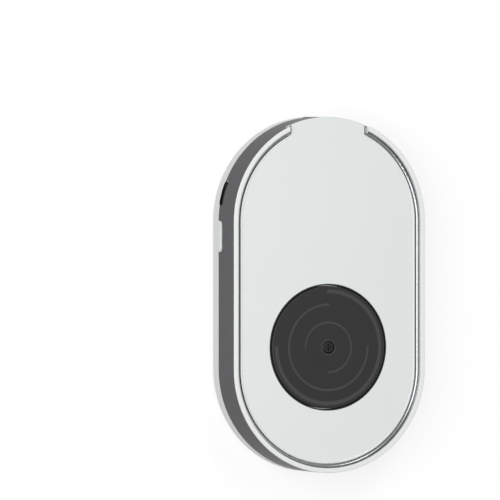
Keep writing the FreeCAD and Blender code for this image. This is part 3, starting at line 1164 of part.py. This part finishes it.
# ---- Power slide ---------------------------------------------------------------------------------
def make_slide_knob():
    """Ribbed knob in the slot, with a flange behind the wall."""
    face_y = BODY_LENGTH / 2 + KNOB_PROUD
    knob = through_end(rounded_bar(KNOB_LENGTH, KNOB_HEIGHT, KNOB_CLEARANCE, face_y - KNOB_FLANGE_Y),
                       KNOB_OFF_X, SLIDE_Z, KNOB_FLANGE_Y)
    lip_half = SLOT_HEIGHT / 2 + KNOB_FLANGE_LIP
    flange = box(KNOB_OFF_X - KNOB_FLANGE_HALF, KNOB_OFF_X + KNOB_FLANGE_HALF, KNOB_FLANGE_Y,
                 KNOB_FLANGE_Y + KNOB_FLANGE_THICKNESS, SLIDE_Z - lip_half, SLIDE_Z + lip_half)
    pitch = KNOB_LENGTH / KNOB_RIB_COUNT
    half = KNOB_GROOVE_WIDTH / 2
    start = KNOB_OFF_X - KNOB_LENGTH / 2
    middles = [start + i * pitch for i in range(1, KNOB_RIB_COUNT)]
    grooves = [box(x - half, x + half, face_y - KNOB_RIB_DEPTH, face_y,
                   SLIDE_Z - KNOB_HEIGHT, SLIDE_Z + KNOB_HEIGHT) for x in middles]
    return cut(fuse([knob, flange]), grooves)


def make_slide_switch_lever():
    """Lever that the knob carries along."""
    half = SLIDE_LEVER_WIDTH / 2
    tall = SLIDE_LEVER_HEIGHT / 2
    return box(KNOB_OFF_X - half, KNOB_OFF_X + half, SLIDE_SWITCH_Y - SLIDE_LEVER_DEPTH, KNOB_FLANGE_Y,
               SLIDE_Z - tall, SLIDE_Z + tall)


def make_slide_switch_body():
    """Slide switch, with a slot for its lever."""
    length, depth, height = SLIDE_SWITCH_SIZE
    gap = SHELL_CLEARANCE
    block = box(-length / 2, length / 2, SLIDE_SWITCH_Y - gap - depth, SLIDE_SWITCH_Y - gap,
                BOARD_TOP, BOARD_TOP + height)
    half = SLIDE_TRAVEL / 2 + SLIDE_LEVER_WIDTH / 2 + gap
    tall = SLIDE_LEVER_HEIGHT / 2 + gap
    slot = box(-half, half, SLIDE_SWITCH_Y - SLIDE_LEVER_DEPTH - gap, SLIDE_SWITCH_Y,
               SLIDE_Z - tall, SLIDE_Z + tall)
    return block.cut(slot)


NODES = {
    "rear_cover": make_rear_cover,
    "side_frame": make_side_frame,
    "front_rim": make_front_rim,
    "groove_trim": make_groove_trim,
    "top_plate": make_top_plate,
    "rubber_feet": make_rubber_feet,
    "cover_screws": make_cover_screws,
    "turntable_disc": make_turntable_disc,
    "disc_screw": make_disc_screw,
    "support_ring": make_support_ring,
    "turntable_well": make_turntable_well,
    "spindle_bush": make_spindle_bush,
    "output_gear": make_output_gear,
    "well_screws": make_well_screws,
    "compound_gear": make_compound_gear,
    "gear_axle": make_gear_axle,
    "worm": make_worm,
    "motor_shaft": make_motor_shaft,
    "motor_can": make_motor_can,
    "motor_end_cap": make_motor_end_cap,
    "motor_terminals": make_motor_terminals,
    "motor_clamp": make_motor_clamp,
    "clamp_screws": make_clamp_screws,
    "circuit_board": make_circuit_board,
    "board_screws": make_board_screws,
    "usb_shell": make_usb_shell,
    "usb_tongue": make_usb_tongue,
    "side_button": make_side_button,
    "button_switch_body": make_button_switch_body,
    "button_switch_plunger": make_button_switch_plunger,
    "slide_knob": make_slide_knob,
    "slide_switch_body": make_slide_switch_body,
    "slide_switch_lever": make_slide_switch_lever,
    "board_chips": make_board_chips,
    "lead_socket": make_lead_socket,
    "motor_leads": make_motor_leads,
}


def main():
    """Write one STEP file per node."""
    os.makedirs("parts", exist_ok=True)
    for name, make in NODES.items():
        shape = make()
        shape.exportStep("parts/" + name + ".step")
        print(name, "solids", len(shape.Solids), "valid", shape.isValid(), "volume", round(shape.Volume, 1))


main()
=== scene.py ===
"""Finishes, light and camera for a mouse jiggler that lies on its feet, plate up."""

import json
import math

import bpy
from mathutils import Matrix, Vector


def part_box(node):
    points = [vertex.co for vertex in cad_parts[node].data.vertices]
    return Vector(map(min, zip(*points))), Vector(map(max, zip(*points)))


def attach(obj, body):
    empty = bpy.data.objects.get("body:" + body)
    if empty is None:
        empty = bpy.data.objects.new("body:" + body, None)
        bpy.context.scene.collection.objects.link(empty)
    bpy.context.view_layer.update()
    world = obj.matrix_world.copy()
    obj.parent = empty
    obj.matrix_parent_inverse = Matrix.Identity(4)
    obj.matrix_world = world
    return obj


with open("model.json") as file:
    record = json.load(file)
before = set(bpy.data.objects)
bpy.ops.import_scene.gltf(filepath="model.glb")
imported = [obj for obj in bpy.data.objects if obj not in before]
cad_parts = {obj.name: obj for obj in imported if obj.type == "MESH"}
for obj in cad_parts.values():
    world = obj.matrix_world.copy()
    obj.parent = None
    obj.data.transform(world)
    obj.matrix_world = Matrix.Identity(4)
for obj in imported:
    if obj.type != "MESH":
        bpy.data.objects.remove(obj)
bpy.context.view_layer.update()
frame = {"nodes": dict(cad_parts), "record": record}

MM = 0.001
NODES = frame["nodes"]
COAT_ROUGHNESS = 0.12


# ---- Sizes, most of them read from the frame ---------------------------------------------------
def top_of(node):
    """Height of a node's highest point."""
    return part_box(node)[1][2]


def middle_of(node):
    """Centre of a node's box."""
    low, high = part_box(node)
    return (Vector(low) + Vector(high)) / 2


DISC_CENTRE = middle_of("turntable_disc")
DISC_TOP = top_of("turntable_disc")
DISC_RADIUS = (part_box("turntable_disc")[1][0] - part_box("turntable_disc")[0][0]) / 2
RIM_TOP = top_of("front_rim")
HALF_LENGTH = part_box("rear_cover")[1][1]
HALF_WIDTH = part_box("rear_cover")[1][0]
PLATE_EDGE = HALF_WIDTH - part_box("top_plate")[1][0]     # the plate's edge, in from the outline
LEDGE_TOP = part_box("groove_trim")[0][2]
STRIP_THICKNESS = 0.25 * MM
RIM_END_X = 15.4 * MM                 # ends of the rim, beside the plate's tab
USB_CENTRE = middle_of("usb_shell")


# ---- Shader maths ------------------------------------------------------------------------------
class Value:
    """A number socket that can stand in a Python expression."""

    def __init__(self, finish, socket):
        self.finish = finish
        self.socket = socket

    def maths(self, operation, *values):
        """Result of one maths node."""
        return self.finish.node("ShaderNodeMath", {"operation": operation}, values)

    def __add__(self, other):
        return self.maths("ADD", self, other)

    def __sub__(self, other):
        return self.maths("SUBTRACT", self, other)

    def __rsub__(self, other):
        return self.maths("SUBTRACT", other, self)

    def __mul__(self, other):
        return self.maths("MULTIPLY", self, other)

    def __pow__(self, other):
        return self.maths("POWER", self, other)

    def __gt__(self, other):
        return self.maths("GREATER_THAN", self, other)

    def __lt__(self, other):
        return self.maths("LESS_THAN", self, other)

    __radd__ = __add__

    def clamped(self):
        """The value, kept between 0 and 1."""
        return self.finish.node("ShaderNodeClamp", {}, (self,))

    def step(self, start, end):
        """0 before start, 1 after end, smooth between."""
        settings = {"interpolation_type": "SMOOTHSTEP"}
        inputs = {"Value": self, "From Min": start, "From Max": end}
        return self.finish.node("ShaderNodeMapRange", settings, inputs)


class Finish:
    """One procedural material with a Principled shader.

    The colour and roughness given at first hold only where no node is linked in their place.
    """

    def __init__(self, name, colour, roughness, metallic=0.0, coat=0.0, specular=0.5):
        self.material = bpy.data.materials.new(name)
        self.material.use_nodes = True
        self.tree = self.material.node_tree
        self.shader = next(n for n in self.tree.nodes if n.type == "BSDF_PRINCIPLED")
        self.set("Base Color", linear(colour))
        self.set("Roughness", roughness)
        self.set("Metallic", metallic)
        self.set("Coat Weight", coat)
        self.set("Coat Roughness", COAT_ROUGHNESS)
        self.set("Specular IOR Level", specular)

    def node(self, kind, settings=None, inputs=(), output=0):
        """Add one node: its settings first, then the values or links of its sockets."""
        node = self.tree.nodes.new(kind)
        for key, value in (settings or {}).items():
            setattr(node, key, value)
        pairs = inputs.items() if isinstance(inputs, dict) else enumerate(inputs)
        for key, value in pairs:
            self.feed(node.inputs[key], value)
        return Value(self, node.outputs[output])

    def feed(self, socket, value):
        """Link or set one socket."""
        if isinstance(value, Value):
            self.tree.links.new(value.socket, socket)
        else:
            socket.default_value = value

    def set(self, socket_name, value):
        """Link or set one socket of the shader."""
        self.feed(self.shader.inputs[socket_name], value)

    def place(self):
        """Coordinates that stay with the piece, in metres."""
        return self.node("ShaderNodeTexCoord", output="Object")

    def axes(self):
        """The same coordinates as three numbers."""
        split = self.node("ShaderNodeSeparateXYZ", inputs=(self.place(),))
        outputs = split.socket.node.outputs
        return [Value(self, outputs[i]) for i in range(3)]

    def inset(self):
        """Distance in from the housing's outline."""
        x, y, _ = self.axes()
        beyond = self.maximum((y * y) ** 0.5 - (HALF_LENGTH - HALF_WIDTH), 0.0)
        return HALF_WIDTH - (x * x + beyond * beyond) ** 0.5

    def maximum(self, first, second):
        """The larger of two values."""
        return self.node("ShaderNodeMath", {"operation": "MAXIMUM"}, (first, second))

    def noise(self, size, detail=3.0, roughness=0.5, stretch=(1, 1, 1)):
        """Noise whose features are about size metres across."""
        settings = {"operation": "MULTIPLY"}
        scaled = self.node("ShaderNodeVectorMath", settings, (self.place(), stretch))
        inputs = {"Vector": scaled, "Scale": 1 / size, "Detail": detail, "Roughness": roughness}
        return self.node("ShaderNodeTexNoise", {}, inputs)

    def mix(self, mask, first, second):
        """First colour where the mask is 0, second where it is 1."""
        # The Mix node's sockets share their names, so they go by number: 6, 7 and 2 are colours.
        settings = {"data_type": "RGBA"}
        inputs = {0: mask, 6: first, 7: second}
        return self.node("ShaderNodeMix", settings, inputs, output=2)

    def overlay(self, mask, colour):
        """Paint a colour over the base colour where the mask is 1."""
        base = Value(self, self.shader.inputs["Base Color"].links[0].from_socket)
        self.set("Base Color", self.mix(mask, base, linear(colour)))

    def bump(self, height, depth):
        """Raise the surface by height times depth metres."""
        self.set("Normal", self.node("ShaderNodeBump", {}, {"Height": height, "Distance": depth}))


def linear(colour):
    """Scene colour of a screen colour given from 0 to 255."""
    def channel(value):
        value = value / 255
        if value <= 0.04045:
            return value / 12.92
        return ((value + 0.055) / 1.055) ** 2.4
    return tuple(channel(value) for value in colour) + (1.0,)


def shade(colour, factor):
    """A lighter or darker version of a screen colour."""
    return tuple(min(255, value * factor) for value in colour)


# ---- Finishes ------------------------------------------------------------------------------------
FLOW_SIZE = 18 * MM                   # moulded plastic: cloudy flow marks
RUB_SIZE = 4 * MM                     # and the marks of handling, which are a little smoother
RUB_GLOSS = 0.02
GRAIN_GLOSS = 0.08                    # how far the grain varies the roughness
FLOW_DARKEST, FLOW_LIGHTEST = 0.988, 1.008


def moulded(name, colour, roughness, grain=0.12 * MM, grain_depth=0.004 * MM, specular=0.5):
    """Injection-moulded plastic: fine spark-eroded grain, faint flow marks and handling marks."""
    finish = Finish(name, colour, roughness, specular=specular)
    grain_height = finish.noise(grain, 2.0)
    cloud = finish.noise(FLOW_SIZE, 4.0, 0.6)
    rub = finish.noise(RUB_SIZE, 5.0, 0.65, (1, 0.35, 1)).step(0.5, 0.8)
    tone = (cloud - 0.5) * 0.5 + 0.5
    darker = linear(shade(colour, FLOW_DARKEST))
    lighter = linear(shade(colour, FLOW_LIGHTEST))
    finish.set("Base Color", finish.mix(tone, darker, lighter))
    smoother = roughness + rub * -RUB_GLOSS
    finish.set("Roughness", (smoother + (grain_height - 0.5) * GRAIN_GLOSS).clamped())
    finish.bump(grain_height + cloud * 0.15, grain_depth)
    return finish


USB_SHADE_ALONG = 4.9 * MM            # half sizes of the black patch of painted shade round the socket
USB_SHADE_UPRIGHT = 2.0 * MM
WALL_SKIN = 0.08 * MM                 # the wall's outside, which the painted shade leaves pale


def shell_plastic():
    """Pale satin plastic of the rear cover and the rim, with painted shade: black in the mouth of
    the socket.
    """
    finish = moulded("shell_plastic", (234, 236, 235), 0.34)
    x, y, z = finish.axes()
    along = (y - USB_CENTRE.y) ** 2 < USB_SHADE_ALONG ** 2
    upright = (z - USB_CENTRE.z) ** 2 < USB_SHADE_UPRIGHT ** 2
    socket_shade = along * upright * (finish.inset() > WALL_SKIN) * (x < 0.0)
    # painted shade: the socket's mouth, which lies in shade, is coloured near black
    finish.overlay(socket_shade, (20, 20, 22))
    return finish


BEAD_START = PLATE_EDGE - 0.1 * MM    # all three are measured in from the outline
BEAD_END = PLATE_EDGE + 0.8 * MM
PLATE_SIDE = PLATE_EDGE + 0.04 * MM   # inner limit of the plate's upright side face, which gets painted shade


def plate_plastic():
    """Cool pale plastic of the plate, with a glossier bead along its edge and painted shade on its
    side face.
    """
    finish = moulded("plate_plastic", (228, 233, 232), 0.30)
    x, y, _ = finish.axes()
    inset = finish.inset()
    off_tab = ((x * x) ** 0.5 > RIM_END_X) + (y < 0.0)
    bead = (inset > BEAD_START) * (inset < BEAD_END)
    finish.set("Coat Weight", (bead * off_tab).clamped())
    # painted shade: the plate's upright side face, down in the gap beside the strip, is coloured
    # dark
    finish.overlay((inset < PLATE_SIDE) * off_tab.clamped(), (70, 72, 73))
    return finish


def band_plastic():
    """Dark satin side band."""
    return moulded("band_plastic", (103, 103, 105), 0.32,
                   grain=0.09 * MM, grain_depth=0.002 * MM, specular=0.02)


def trim_plating():
    """Satin plating of the strip in the groove."""
    finish = Finish("trim_plating", (186, 187, 189), 0.2, metallic=1.0)
    marks = finish.noise(0.4 * MM, 3.0)
    cloud = finish.noise(6 * MM, 4.0, 0.6)
    finish.set("Base Color", finish.mix(cloud, linear((182, 183, 185)), linear((190, 191, 193))))
    finish.set("Roughness", 0.22 + marks * 0.04)
    finish.bump(marks, 0.0002 * MM)
    return finish


def button_plastic():
    """Pale satin button."""
    return moulded("button_plastic", (231, 233, 234), 0.32)


GROOVE_START = DISC_TOP - 0.04 * MM   # below this height the disc's surface is a groove
GROOVE_FADE = 0.06 * MM
GROOVE_LOWEST = DISC_TOP - 0.3 * MM   # and below this one it is the disc's side
DISC_EDGE = 0.6 * MM                  # rounded edge of the disc, which isn't a groove


def disc_plastic():
    """Matt dark disc; the floors of its grooves are smoother and a little lighter."""
    finish = Finish("disc_plastic", (43, 43, 43), 0.5, specular=0.35)
    x, y, z = finish.axes()
    groove = (z * -1 + GROOVE_START).step(0, GROOVE_FADE) * (z > GROOVE_LOWEST)
    across = x - DISC_CENTRE.x
    along = y - DISC_CENTRE.y
    radius = (across * across + along * along) ** 0.5
    groove = groove * (radius < DISC_RADIUS - DISC_EDGE)
    grain = finish.noise(0.15 * MM, 2.0)
    cloud = finish.noise(9 * MM, 4.0, 0.6)
    dark = finish.mix(cloud, linear((41, 41, 41)), linear((45, 45, 45)))
    finish.set("Base Color", finish.mix(groove, dark, linear((68, 68, 69))))
    finish.set("Roughness", (0.5 - groove * 0.12 + (grain - 0.5) * 0.1).clamped())
    finish.bump(grain, 0.004 * MM)
    return finish


def black_plastic():
    """Black matt plastic of the well and the switches."""
    return moulded("black_plastic", (24, 24, 26), 0.5)


def white_plastic():
    """Natural plastic of the small fittings."""
    return moulded("white_plastic", (226, 223, 214), 0.42)


def gear_plastic():
    """Natural acetal of the gears."""
    return moulded("gear_plastic", (232, 228, 212), 0.36, grain_depth=0.002 * MM)


def knob_plastic():
    """Grey ribbed knob."""
    return moulded("knob_plastic", (150, 152, 154), 0.38)


def foot_rubber():
    """Matt rubber with a fine open grain and a little dust."""
    finish = Finish("foot_rubber", (38, 38, 39), 0.8, specular=0.3)
    grain = finish.noise(0.25 * MM, 4.0, 0.6)
    dust = finish.noise(2.5 * MM, 5.0, 0.7).step(0.52, 0.75)
    finish.set("Base Color", finish.mix(dust, linear((36, 36, 37)), linear((62, 61, 59))))
    finish.set("Roughness", 0.78 + grain * 0.15)
    finish.bump(grain, 0.02 * MM)
    return finish


def metal(name, colour, roughness, grain=0.3 * MM, stretch=(1, 1, 1), depth=0.002 * MM):
    """Bare or plated metal with fine marks."""
    finish = Finish(name, colour, roughness, metallic=1.0)
    marks = finish.noise(grain, 4.0, 0.6, stretch)
    cloud = finish.noise(3 * MM, 3.0)
    darker, lighter = linear(shade(colour, 0.93)), linear(shade(colour, 1.03))
    finish.set("Base Color", finish.mix(cloud, darker, lighter))
    finish.set("Roughness", (roughness + (marks - 0.5) * 0.2).clamped())
    finish.bump(marks, depth)
    return finish


def screw_steel():
    """Plated screws and pins."""
    return metal("screw_steel", (176, 177, 180), 0.32)


def dark_screw():
    """Black oxide screw in the middle of the disc."""
    return metal("dark_screw", (68, 68, 70), 0.42)


def polished_steel():
    """Polished ring under the disc's edge."""
    return metal("polished_steel", (243, 244, 246), 0.14, depth=0.0003 * MM)


def bronze():
    """Sintered bronze bush."""
    return metal("bronze", (176, 132, 84), 0.45, grain=0.12 * MM, depth=0.006 * MM)


def brass():
    """Turned brass."""
    return metal("brass", (205, 170, 104), 0.26, stretch=(1, 8, 1))


def can_steel():
    """Zinc-plated sheet steel."""
    return metal("can_steel", (186, 188, 191), 0.28, grain=0.5 * MM, stretch=(1, 0.2, 1))


def lead_insulation():
    """Smooth lead insulation: red for one lead and black for the other."""
    finish = Finish("lead_insulation", (150, 26, 24), 0.35)
    x, y, _ = finish.axes()
    beside_motor = x > middle_of("motor_can").x
    at_socket = y > middle_of("lead_socket").y
    black = (beside_motor + at_socket).clamped()
    grain = finish.noise(0.3 * MM, 2.0)
    finish.set("Base Color", finish.mix(black, linear((158, 30, 28)), linear((30, 30, 32))))
    finish.set("Roughness", 0.3 + grain * 0.1)
    finish.bump(grain, 0.004 * MM)
    return finish


def board_laminate():
    """Green solder mask with a woven glass ground and paler copper runs under it."""
    finish = Finish("board_laminate", (24, 92, 48), 0.28, coat=0.4)
    weave = finish.node("ShaderNodeTexWave",
                        {"wave_type": "BANDS", "bands_direction": "DIAGONAL"},
                        {"Vector": finish.place(), "Scale": 0.32 / MM, "Distortion": 0.4})
    cells = finish.node("ShaderNodeTexVoronoi",
                        {"distance": "CHEBYCHEV", "feature": "DISTANCE_TO_EDGE"},
                        {"Vector": finish.place(), "Scale": 0.22 / MM})
    copper = 1 - cells.step(0.05, 0.07)
    ground = finish.mix(weave * 0.35, linear((20, 84, 44)), linear((30, 100, 56)))
    finish.set("Base Color", finish.mix(copper * 0.8, ground, linear((48, 128, 74))))
    finish.bump(copper + weave * 0.1, 0.02 * MM)
    return finish


FINISHES = {
    "shell_plastic": shell_plastic,
    "plate_plastic": plate_plastic,
    "band_plastic": band_plastic,
    "trim_plating": trim_plating,
    "foot_rubber": foot_rubber,
    "screw_steel": screw_steel,
    "disc_plastic": disc_plastic,
    "dark_screw": dark_screw,
    "polished_steel": polished_steel,
    "black_plastic": black_plastic,
    "bronze": bronze,
    "gear_plastic": gear_plastic,
    "brass": brass,
    "can_steel": can_steel,
    "white_plastic": white_plastic,
    "lead_insulation": lead_insulation,
    "board_laminate": board_laminate,
    "button_plastic": button_plastic,
    "knob_plastic": knob_plastic,
}


def dress_nodes():
    """Give every CAD node the finish that its record names."""
    made = {slot: make().material for slot, make in FINISHES.items()}
    for row in frame["record"]["subparts"]:
        piece = NODES[row["node"]]
        piece.data.materials.clear()
        piece.data.materials.append(made[row["material_slot"]])
    return made


# ---- Added pieces --------------------------------------------------------------------------------
TRIM_END_NEAR = RIM_END_X - 0.72 * MM                   # its side beside the tab
TRIM_END_FAR = RIM_END_X - 0.02 * MM                    # its side beside the rim's end
TRIM_END_OUTER = HALF_WIDTH - 0.1 * MM                  # radii round the centre of the round end
TRIM_END_INNER = HALF_WIDTH - PLATE_EDGE + 0.37 * MM


def box_sides(corner_count=4):
    """Side faces between a lower and an upper ring of corners."""
    following = [(i + 1) % corner_count for i in range(corner_count)]
    return [(i, j, j + corner_count, i + corner_count) for i, j in enumerate(following)]


def add_trim_ends(plating):
    """Flat ends of the plated strip, laid on the ledge beside the plate's tab."""
    start = HALF_LENGTH - HALF_WIDTH
    for side in (-1, 1):
        near, far = side * TRIM_END_NEAR, side * TRIM_END_FAR
        outline = [(near, TRIM_END_INNER), (far, TRIM_END_INNER),
                   (far, TRIM_END_OUTER), (near, TRIM_END_OUTER)]
        ring = [(x, start + (radius ** 2 - x ** 2) ** 0.5) for x, radius in outline]
        corners = [(x, y, z) for z in (LEDGE_TOP, LEDGE_TOP + STRIP_THICKNESS)
                   for x, y in ring[::side]]
        faces = [(3, 2, 1, 0), (4, 5, 6, 7)] + box_sides()
        mesh = bpy.data.meshes.new("trim_end")
        mesh.from_pydata(corners, [], faces)
        mesh.validate()
        end = bpy.data.objects.new("trim_end", mesh)
        bpy.context.scene.collection.objects.link(end)
        end.data.materials.append(plating)
        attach(end, "housing")


# ---- Stage ---------------------------------------------------------------------------------------
FLOOR_TONE = (180, 180, 180)          # the floor's colour where it lights the object
FLOOR_SHADOW_TONE = (150, 150, 150)   # the part of the floor's white that a shadow can take away
FLOOR_WHITE = 0.74                    # strength of the rest of its white
FLOOR_ROUGHNESS = 0.9
FLOOR_HALF = 3.2
FLOOR_EDGE_HEIGHT = 0.25


def floor_paper():
    """White paper: seen directly or in a reflection it is white, less the object's shadow."""
    finish = Finish("floor_paper", FLOOR_TONE, FLOOR_ROUGHNESS, specular=0.1)
    tree = finish.tree
    white = tree.nodes.new("ShaderNodeBsdfPrincipled")
    white.inputs["Base Color"].default_value = linear(FLOOR_SHADOW_TONE)
    white.inputs["Roughness"].default_value = FLOOR_ROUGHNESS
    white.inputs["Specular IOR Level"].default_value = 0.0
    white.inputs["Emission Color"].default_value = (1, 1, 1, 1)
    white.inputs["Emission Strength"].default_value = FLOOR_WHITE
    path = tree.nodes.new("ShaderNodeLightPath")
    camera, glossy, transmission = [
        Value(finish, path.outputs[name])
        for name in ("Is Camera Ray", "Is Glossy Ray", "Is Transmission Ray")]
    seen = (camera + glossy + transmission).clamped()
    blend = tree.nodes.new("ShaderNodeMixShader")
    finish.feed(blend.inputs[0], seen)
    tree.links.new(finish.shader.outputs[0], blend.inputs[1])
    tree.links.new(white.outputs[0], blend.inputs[2])
    output = next(n for n in tree.nodes if n.type == "OUTPUT_MATERIAL")
    tree.links.new(blend.outputs[0], output.inputs["Surface"])
    return finish


def make_floor():
    """Large pale floor under the feet, with an upright edge far off that closes the horizon."""
    level = [(across * FLOOR_HALF, along * FLOOR_HALF) for across, along in
             ((-1, -1), (1, -1), (1, 1), (-1, 1))]
    corners = [(x, y, z) for z in (0, FLOOR_EDGE_HEIGHT) for x, y in level]
    faces = [(0, 1, 2, 3)] + [side[::-1] for side in box_sides()]
    mesh = bpy.data.meshes.new("floor")
    mesh.from_pydata(corners, [], faces)
    floor = bpy.data.objects.new("floor", mesh)
    bpy.context.scene.collection.objects.link(floor)
    floor.data.materials.append(floor_paper().material)


WORLD_TONE = (238, 238, 238)
WORLD_STRENGTH = 0.48
SOFTBOX_TARGET = (0, 0, 0.01)
SOFTBOXES = (                         # name, place, width, height and power in watts
    ("key", (-0.38, 0.04, 0.5), 0.44, 0.6, 2.35),
    ("far_end", (0.17, 0.98, 0.98), 0.45, 0.6, 3.4),
    ("right_fill", (1.35, 0.1, 1.03), 1.1, 0.68, 2.6),
)


def make_world():
    """Even studio surroundings."""
    world = bpy.data.worlds.new("studio")
    world.use_nodes = True
    background = world.node_tree.nodes["Background"]
    background.inputs["Color"].default_value = linear(WORLD_TONE)
    background.inputs["Strength"].default_value = WORLD_STRENGTH
    bpy.context.scene.world = world


def make_softbox(name, place, width, height, power):
    """Rectangular area light that points at the object."""
    lamp = bpy.data.lights.new(name, "AREA")
    lamp.shape = "RECTANGLE"
    lamp.size = width
    lamp.size_y = height
    lamp.energy = power
    softbox = bpy.data.objects.new(name, lamp)
    softbox.location = place
    aim = Vector(SOFTBOX_TARGET) - Vector(place)
    softbox.rotation_euler = aim.to_track_quat("-Z", "Y").to_euler()
    bpy.context.scene.collection.objects.link(softbox)


def light_studio():
    """Even pale surroundings, a key light near the left side and two lights further off."""
    make_world()
    for softbox in SOFTBOXES:
        make_softbox(*softbox)


# ---- Camera --------------------------------------------------------------------------------------
CAMERA_TURN = math.radians(22.75)     # round the length of the housing, towards the button
CAMERA_TILT = math.radians(-0.863)
CAMERA_DISTANCE = 2.8861
CAMERA_SHIFT_RIGHT = 0.02894          # of the housing's centre in the view
CAMERA_SHIFT_UP = -0.05973
IMAGE_PIXELS = 500
FOCAL_PIXELS = 8000
SENSOR_WIDTH = 36.0
CLIP_NEAR, CLIP_FAR = 0.01, 20


def place_camera():
    """Camera over the plate, turned towards the wall with the button."""
    right = Vector((math.cos(CAMERA_TURN), 0, math.sin(CAMERA_TURN)))
    ahead_level = Vector((math.sin(CAMERA_TURN), 0, -math.cos(CAMERA_TURN)))
    along = Vector((0, 1, 0))
    aim = Vector((0, 0, RIM_TOP)) - right * CAMERA_SHIFT_RIGHT - along * CAMERA_SHIFT_UP
    place = aim - ahead_level * CAMERA_DISTANCE
    up = along * math.cos(CAMERA_TILT) - ahead_level * math.sin(CAMERA_TILT)
    ahead = along * math.sin(CAMERA_TILT) + ahead_level * math.cos(CAMERA_TILT)
    lens = bpy.data.cameras.new("camera")
    lens.sensor_width = SENSOR_WIDTH
    lens.lens = FOCAL_PIXELS / IMAGE_PIXELS * SENSOR_WIDTH
    lens.clip_start = CLIP_NEAR
    lens.clip_end = CLIP_FAR
    camera = bpy.data.objects.new("camera", lens)
    turn = Matrix((right, up, -ahead)).transposed().to_4x4()
    camera.matrix_world = Matrix.Translation(place) @ turn
    bpy.context.scene.collection.objects.link(camera)
    bpy.context.scene.camera = camera


def main():
    """Dress the part and set the stage."""
    finishes = dress_nodes()
    add_trim_ends(finishes["trim_plating"])
    make_floor()
    light_studio()
    place_camera()
    bpy.context.scene.view_settings.view_transform = "Standard"


main()
